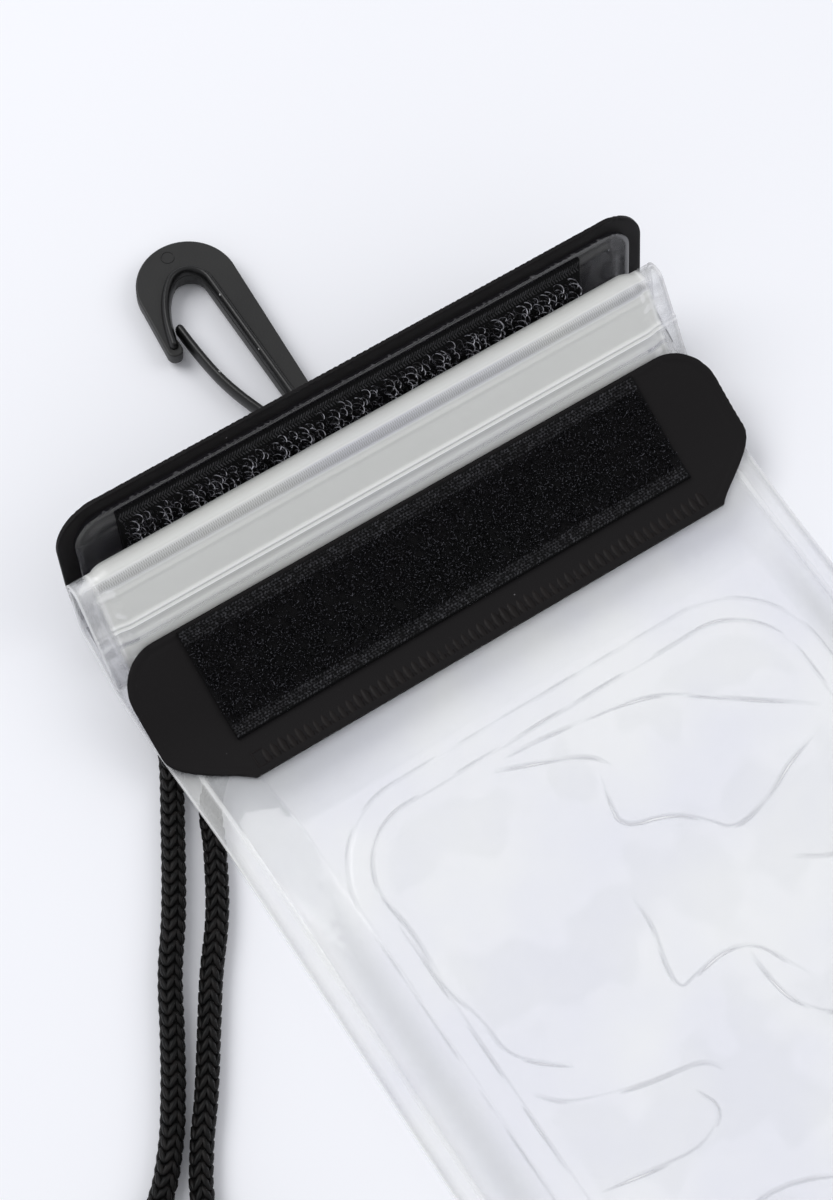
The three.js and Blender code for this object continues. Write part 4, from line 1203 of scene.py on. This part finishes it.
# Weld ribs pressed across the front flap's lower edge
GRAIN_TREE = laid_tree("small_grains", small_grain)


def lying(path, s, x, rise, spin=0.0):
    """A place on a path, and the turn that lays a grain's length across the pouch, then spins it."""
    lay = Matrix.Rotation(math.pi / 2, 3, "Y")
    return Vector(path.point(s, x, rise)), path.turn(s) @ Matrix.Rotation(spin, 3, "Z") @ lay


RIB_COUNT, RIB_PITCH, FIRST_RIB = 55, 1.585, FLAP_SHIFT - 42.6
rib_places = []
rib_rng = np.random.default_rng(5)
for i in range(RIB_COUNT):
    point, turn = lying(flap_path, 2.6, FIRST_RIB + RIB_PITCH * i, FLAP_THICK - 0.06, math.pi / 2)
    rib_places.append((point, turn, (1.0 + rib_rng.normal(0, 0.1), 1.0, 1.0 + rib_rng.normal(0, 0.04))))
point, turn = lying(flap_path, 2.5, FLAP_SHIFT - 44.6, FLAP_THICK, math.pi / 2)
rib_places.append((point, turn, (1.3, 0.16, 1.0)))
for s in (1.15, 3.85):
    point, turn = lying(flap_path, s, FLAP_SHIFT - 43.7, FLAP_THICK)
    rib_places.append((point, turn, (1.0, 0.13, 0.6)))
laid_out("weld_ribs", GRAIN_TREE, rib_places, {
    "Length": 4.1 * MM, "Width": 1.85 * MM, "Height": 0.19 * MM}, WELD_STRIP)


# Tapes
def tape_base(node, path, low_s, high_s, rise, material):
    rows = spread([(low_s, low_s + 0.4, 0.1), (low_s + 0.4, high_s - 0.4, 0.6), (high_s - 0.4, high_s, 0.1)])
    columns = mirrored([1.0, 0.999, 0.996, 0.992] + spread([(0.0, 0.985, 0.02)]))

    def top(s, x):
        gap = np.minimum(TAPE_HALF_LENGTH - np.abs(x), min(s - low_s, high_s - s))
        return rise + TAPE * (0.35 + 0.3 * np.sqrt(1 - (1 - np.clip(gap / 0.4, 0, 1)) ** 2))

    made = sheet(node + "_dressed", path, rows, columns, lambda s: TAPE_HALF_LENGTH,
                 lambda s, x: np.full_like(x, rise - 0.06), top)
    dressed(smooth_shaded(made, 50), material, [node])


def thread_places(from_s, to_s, rise, seed):
    """Places of the loop tape's selvage threads, row by row, with a slight irregularity."""
    rng = np.random.default_rng(seed)
    places = []
    rows = max(1, round((to_s - from_s) / THREAD_PITCH))
    for row in range(rows):
        s = from_s + (row + 0.5) * (to_s - from_s) / rows
        lean = THREAD_LEAN if row % 2 == 0 else -THREAD_LEAN
        for x in np.arange(-TAPE_HALF_LENGTH + 0.3, TAPE_HALF_LENGTH - 0.2, 0.62):
            point, turn = lying(flap_path, s + rng.normal(0, 0.02), x + rng.normal(0, 0.02), rise, lean)
            places.append((point, turn, (1 + rng.normal(0, 0.07),) * 3))
    return places


TAPE_FACE = 0.62  # how far up a tape's thickness its base cloth's face lies
THREAD_PITCH, THREAD_LEAN = 0.48, 0.5
SELVAGE_WIDTH = 2.6
loop_top = flap_path.length - TAPE_MARGIN
loop_low = loop_top - TAPE_WIDTH
loop_rise = FLAP_THICK + TOUCH
tape_base("loop_tape", flap_path, loop_low, loop_top, loop_rise, LOOP_TAPE)
loop_face = loop_rise + TAPE_FACE * TAPE
loop_threads = thread_places(loop_low + 0.2, loop_low + SELVAGE_WIDTH, loop_face, 1)
loop_threads += thread_places(loop_top - SELVAGE_WIDTH, loop_top - 0.2, loop_face, 2)
laid_out("loop_tape_selvage", GRAIN_TREE, loop_threads, {
    "Length": 0.72 * MM, "Width": 0.4 * MM, "Height": 0.24 * MM}, SELVAGE)

pile_field = sheet(
    "pile_field", flap_path, spread([(loop_low + SELVAGE_WIDTH - 0.2, loop_top - SELVAGE_WIDTH + 0.2, 1.0)]),
    [-1, 0, 1], lambda s: TAPE_HALF_LENGTH - 0.35, lambda s, x: np.full_like(x, loop_rise + 0.4),
    lambda s, x: np.full_like(x, loop_face))
keep = bmesh.new()
keep.from_mesh(pile_field.data)
keep.normal_update()
bmesh.ops.delete(keep, geom=[f for f in keep.faces if f.normal.z < 0.5], context="FACES")
keep.to_mesh(pile_field.data)
keep.free()
dressed(grown(pile_field, pile_tree(), "loop_tape_pile", {
    "Loops Per Square Metre": 4.9e6, "Tilt": 0.75, "Seed": 4, "Arc Radius": 0.48 * MM, "Sweep": 4.1,
    "Start": -0.48, "Fibre Radius": 0.05 * MM, "Steps": 5}, LOOP_FIBRE), LOOP_FIBRE)

HOOK_TAPE_MARGIN = 4.0
hook_top = back_path.length - HOOK_TAPE_MARGIN
hook_low = hook_top - TAPE_WIDTH
hook_rise = LINING_THICK + 2 * TOUCH
tape_base("hook_tape", back_path, hook_low, hook_top, hook_rise, HOOK_TAPE)
hook_face = hook_rise + TAPE_FACE * TAPE
hook_threads = []
for middle, lean in ((hook_low + 0.85, 0.42), (hook_low + 1.95, -0.42),
                     (hook_top - 1.95, 0.42), (hook_top - 0.85, -0.42)):
    for x in np.arange(-TAPE_HALF_LENGTH + 0.4, TAPE_HALF_LENGTH - 0.3, 0.52):
        point, turn = lying(back_path, middle, x, hook_face, math.pi / 2 + lean)
        hook_threads.append((point, turn, (1.0, 1.0, 1.0)))
laid_out("hook_tape_selvage", GRAIN_TREE, hook_threads, {
    "Length": 1.5 * MM, "Width": 0.3 * MM, "Height": 0.42 * MM}, RIBBING)

# The hook tape's crop: tall bent hooks in fans, and small curls below them
ARC_RADIUS = 1.0
FAN = 5.3


def arc_place(s, x, spin, tilt, size):
    """A place for an arc that stands on the tape with its foot down, and bulges along the tape."""
    turn = back_path.turn(s) @ Matrix.Rotation(spin, 3, "Z") @ Matrix.Rotation(tilt, 3, "X")
    return Vector(back_path.point(s, x, hook_face + 0.95 * size * ARC_RADIUS)), turn, (size, size, size)


rng = np.random.default_rng(7)
hook_places, curl_places = [], []
for fan in np.arange(-TAPE_HALF_LENGTH + 1.6, TAPE_HALF_LENGTH - 1.0, FAN):
    fan_shift, fan_spin = rng.normal(0, 0.25), rng.normal(0.0, 0.12)
    for row, s in enumerate(np.arange(hook_top - 3.4, hook_low + 3.0, -1.75)):
        x = fan + fan_shift + 0.1 * row + rng.normal(0, 0.22)
        hook_places.append(arc_place(s + rng.normal(0, 0.06), x, fan_spin + rng.normal(0, 0.1),
                                     rng.normal(0.12, 0.1), rng.normal(1.2, 0.07)))
        for aside in (1.5, 3.2):
            if x + aside > TAPE_HALF_LENGTH - 1.6:
                continue
            hook_places.append(arc_place(
                s + rng.normal(0.3, 0.3), x + rng.normal(aside, 0.3), rng.normal(0.2, 0.4),
                rng.normal(0.1, 0.25), rng.normal(0.86, 0.12)))
for s in np.arange(hook_low + 3.0, hook_top - 3.2, 0.8):
    for x in np.arange(-TAPE_HALF_LENGTH + 0.9, TAPE_HALF_LENGTH - 0.8, 0.92):
        curl_places.append(arc_place(
            s + rng.normal(0, 0.2), x + rng.normal(0, 0.22),
            rng.normal(0.0, 0.5) + math.pi * (rng.random() < 0.35), rng.normal(0.0, 0.35),
            rng.normal(0.42, 0.08)))
HOOK_TREE = laid_tree("bent_hooks", bent_fibre)
ARCS = {"Arc Radius": ARC_RADIUS * MM, "Sweep": 2.9, "Start": -1.7, "Fibre Radius": 0.08 * MM, "Steps": 9}
laid_out("hook_tape_hooks", HOOK_TREE, hook_places, ARCS, HOOK_FIBRE_PAINTED_GLINTS)
laid_out("hook_tape_curls", HOOK_TREE, curl_places, {**ARCS, "Steps": 6}, CURL_FIBRE_PAINTED_SHADE)


# Snap hook: a flat web, a round bead along its inner edge, a springy gate and a socket
HOOK_MIDDLE, HOOK_WEB, HOOK_BEAD, HOOK_BEAD_WIDTH = 2.6, 2.6, 5.2, 1.9
HEAD, HEAD_RADIUS = (-6.3, 84.0), 9.0
EYE, EYE_RADIUS, EYE_SWEEP = (-6.5, 82.9), 2.95, 120.0
SHOULDER_Y = 81.4
NOSE, NOSE_RADIUS, NOSE_LENGTH = (-14.9, 74.2), 1.4, 3.4
ARM_FOOT = (0.9, 54.0)
GATE_ROUTE = [(-6.9, 52), (-9.6, 59.4), (-11.1, 65.5), (-11.7, 72), (-11.9, 78.4)]
GATE_WIDTH, GATE_DEPTH = 1.7, 3.4
SOCKET_X, SOCKET_HALF_WIDTH, SOCKET_FROM_Y, SOCKET_HEIGHT, BASE_FROM_Y = -5.0, 5.6, 37.3, 6.0, 46.0
MARK, MARK_RADIUS = (-6.4, 90.6), 1.15


def arc(middle, radius, start, end, count):
    return [(middle[0] + radius * math.cos(a), middle[1] + radius * math.sin(a))
            for a in np.radians(np.linspace(start, end, count))]


def bend(start, pull, end, count):
    """A curve from start to end, drawn towards a third point."""
    return [tuple((1 - t) ** 2 * a + 2 * t * (1 - t) * b + t * t * c for a, b, c in zip(start, pull, end))
            for t in np.linspace(0, 1, count)]


def moulded_plate(name, outline, height, middle, edge):
    """A flat moulding with rounded edges."""
    data = bpy.data.curves.new(name, "CURVE")
    data.dimensions = "2D"
    data.fill_mode = "BOTH"
    data.extrude = (height / 2 - edge) * MM
    data.bevel_depth = edge * MM
    data.bevel_resolution = 3
    data.offset = -edge * MM
    spline = data.splines.new("POLY")
    spline.points.add(len(outline) - 1)
    spline.use_cyclic_u = True
    for knot, (x, y, _) in zip(spline.points, place([(x, y, 0) for x, y in outline])):
        knot.co = (x, y, 0, 1)
    made = finished(new_object(name, data))
    made.data.transform(Matrix.Translation((0, 0, middle * MM)))
    return dressed(smooth_shaded(made, 35), HOOK_PLASTIC)


RIB_STEP = 0.25


def moulded_rib(name, route, width, depth, middle, sides=16, material=HOOK_PLASTIC):
    """A rib with a round top along a flat route, with rounded ends."""
    line = eased_route(route, RIB_STEP)
    ahead = np.gradient(line, axis=0)
    ahead /= np.linalg.norm(ahead, axis=1)[:, None]
    walked = np.arange(len(line)) * RIB_STEP
    end_gap = np.minimum(walked, walked[-1] - walked)
    full = np.maximum(np.sqrt(1 - (1 - np.clip(end_gap / (width / 2), 0, 1)) ** 2), 0.08)
    points = []
    for (x, y), (dx, dy), share in zip(line, ahead, full):
        for angle in np.linspace(0, 2 * math.pi, sides, endpoint=False):
            out = share * width / 2 * math.cos(angle)
            points.append((x + dy * out, y - dx * out, middle + share * depth / 2 * math.sin(angle)))
    faces = [tuple(range(sides))[::-1], tuple(range(len(points) - sides, len(points)))]
    for ring in range(len(line) - 1):
        for k in range(sides):
            a, b = ring * sides + k, ring * sides + (k + 1) % sides
            faces.append((a, b, b + sides, a + sides))
    made = new_object(name, new_mesh(name, points, faces))
    outward = bmesh.new()
    outward.from_mesh(made.data)
    bmesh.ops.recalc_face_normals(outward, faces=outward.faces)
    outward.to_mesh(made.data)
    outward.free()
    return dressed(smooth_shaded(made, 60), material)


eye_end = arc(EYE, EYE_RADIUS, EYE_SWEEP, EYE_SWEEP, 1)[0]
nose_inner = NOSE[0] + NOSE_RADIUS
web_outline = [ARM_FOOT] + arc(HEAD, HEAD_RADIUS, 0, 180, 40) + arc(NOSE, NOSE_RADIUS, 180, 360, 14)
web_outline += bend((nose_inner, NOSE[1] + NOSE_LENGTH), (nose_inner, SHOULDER_Y), eye_end, 10)
web_outline += arc(EYE, EYE_RADIUS, EYE_SWEEP, 0, 20)[1:] + [(EYE[0] + EYE_RADIUS, ARM_FOOT[1])]
snap_hook = moulded_plate("snap_hook_dressed", web_outline, HOOK_WEB, HOOK_MIDDLE, 0.3)
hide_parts("snap_hook")


def beside_eye(out):
    """The line that the bead follows, or one that lies further out by the given amount."""
    radius = EYE_RADIUS + HOOK_BEAD_WIDTH / 2 + out
    line = [(EYE[0] + radius, ARM_FOOT[1] - 1), (EYE[0] + radius, EYE[1] - 2)]
    line += arc(EYE, radius, 0, EYE_SWEEP, 16)
    return line + bend(line[-1], (NOSE[0] + 2.0 - out, EYE[1] + 0.1), (NOSE[0] - out, NOSE[1] - 0.4), 8)[1:]


# The bead and the gate wear the darker copy of the hook's plastic, painted shade
moulded_rib("snap_hook_bead", beside_eye(0.0), HOOK_BEAD_WIDTH, HOOK_BEAD, HOOK_MIDDLE,
            material=HOOK_PLASTIC_PAINTED_SHADE)
# A dark rib beside the bead: painted shade of the groove round the bead
moulded_rib("snap_hook_painted_recess_shade", beside_eye(0.75), 1.3, HOOK_WEB + 0.1, HOOK_MIDDLE, 12, HOOK_RECESS_PAINTED_SHADE)
moulded_rib("snap_hook_gate", GATE_ROUTE, GATE_WIDTH, GATE_DEPTH, HOOK_MIDDLE, material=HOOK_PLASTIC_PAINTED_SHADE)

socket_left, socket_right = SOCKET_X - SOCKET_HALF_WIDTH, SOCKET_X + SOCKET_HALF_WIDTH
moulded_plate("snap_hook_base", [
    (socket_left, BASE_FROM_Y), (socket_right, BASE_FROM_Y), (ARM_FOOT[0], ARM_FOOT[1] + 2),
    (-9.9, ARM_FOOT[1] + 2)], HOOK_BEAD, HOOK_MIDDLE, 0.6)
moulded_plate("snap_hook_socket", [
    (socket_left, SOCKET_FROM_Y), (socket_right, SOCKET_FROM_Y), (socket_right, BASE_FROM_Y + 1),
    (socket_left, BASE_FROM_Y + 1)], SOCKET_HEIGHT, SOCKET_HEIGHT / 2, 0.8)
moulded_rib("snap_hook_mark", arc(MARK, MARK_RADIUS, 0, 352, 24), 0.2, 0.2, HOOK_MIDDLE + HOOK_WEB / 2, 6)


# Floor and light
PAPER_WHITE = srgb(246, 247, 251)
LIGHT_AIM = Vector((0, 0, 0.01))


def make_floor():
    corners = [(3.0 * x, 3.0 * y, -5e-5) for x, y in ((-1, -1), (1, -1), (1, 1), (-1, 1))]
    mesh = bpy.data.meshes.new("floor")
    mesh.from_pydata(corners, [], [(0, 1, 2, 3)])
    floor = new_object("floor", mesh)
    made = new_material("floor_paper", Roughness=0.9, Specular_IOR_Level=0.1)
    made.paint("Base Color", PAPER_WHITE)
    floor.data.materials.append(made.material)


def make_light(name, size, power, place_at):
    data = bpy.data.lights.new(name, "AREA")
    data.shape = "RECTANGLE"
    data.size, data.size_y = size
    data.energy = power
    light = new_object(name, data)
    light.location = place_at
    light.rotation_mode = "QUATERNION"
    light.rotation_quaternion = (Vector(place_at) - LIGHT_AIM).to_track_quat("Z", "Y")
    light.visible_camera = False


make_floor()
make_light("softbox", (1.0, 0.8), 9.0, (-0.5, 0.75, 1.1))
make_light("fill", (0.9, 0.9), 3.0, (0.9, -0.4, 1.0))
world = bpy.data.worlds.new("studio")
scene.world = world
world.use_nodes = True
world.node_tree.nodes["Background"].inputs[0].default_value = PAPER_WHITE
world.node_tree.nodes["Background"].inputs[1].default_value = 0.62

scene.view_settings.view_transform = "Standard"
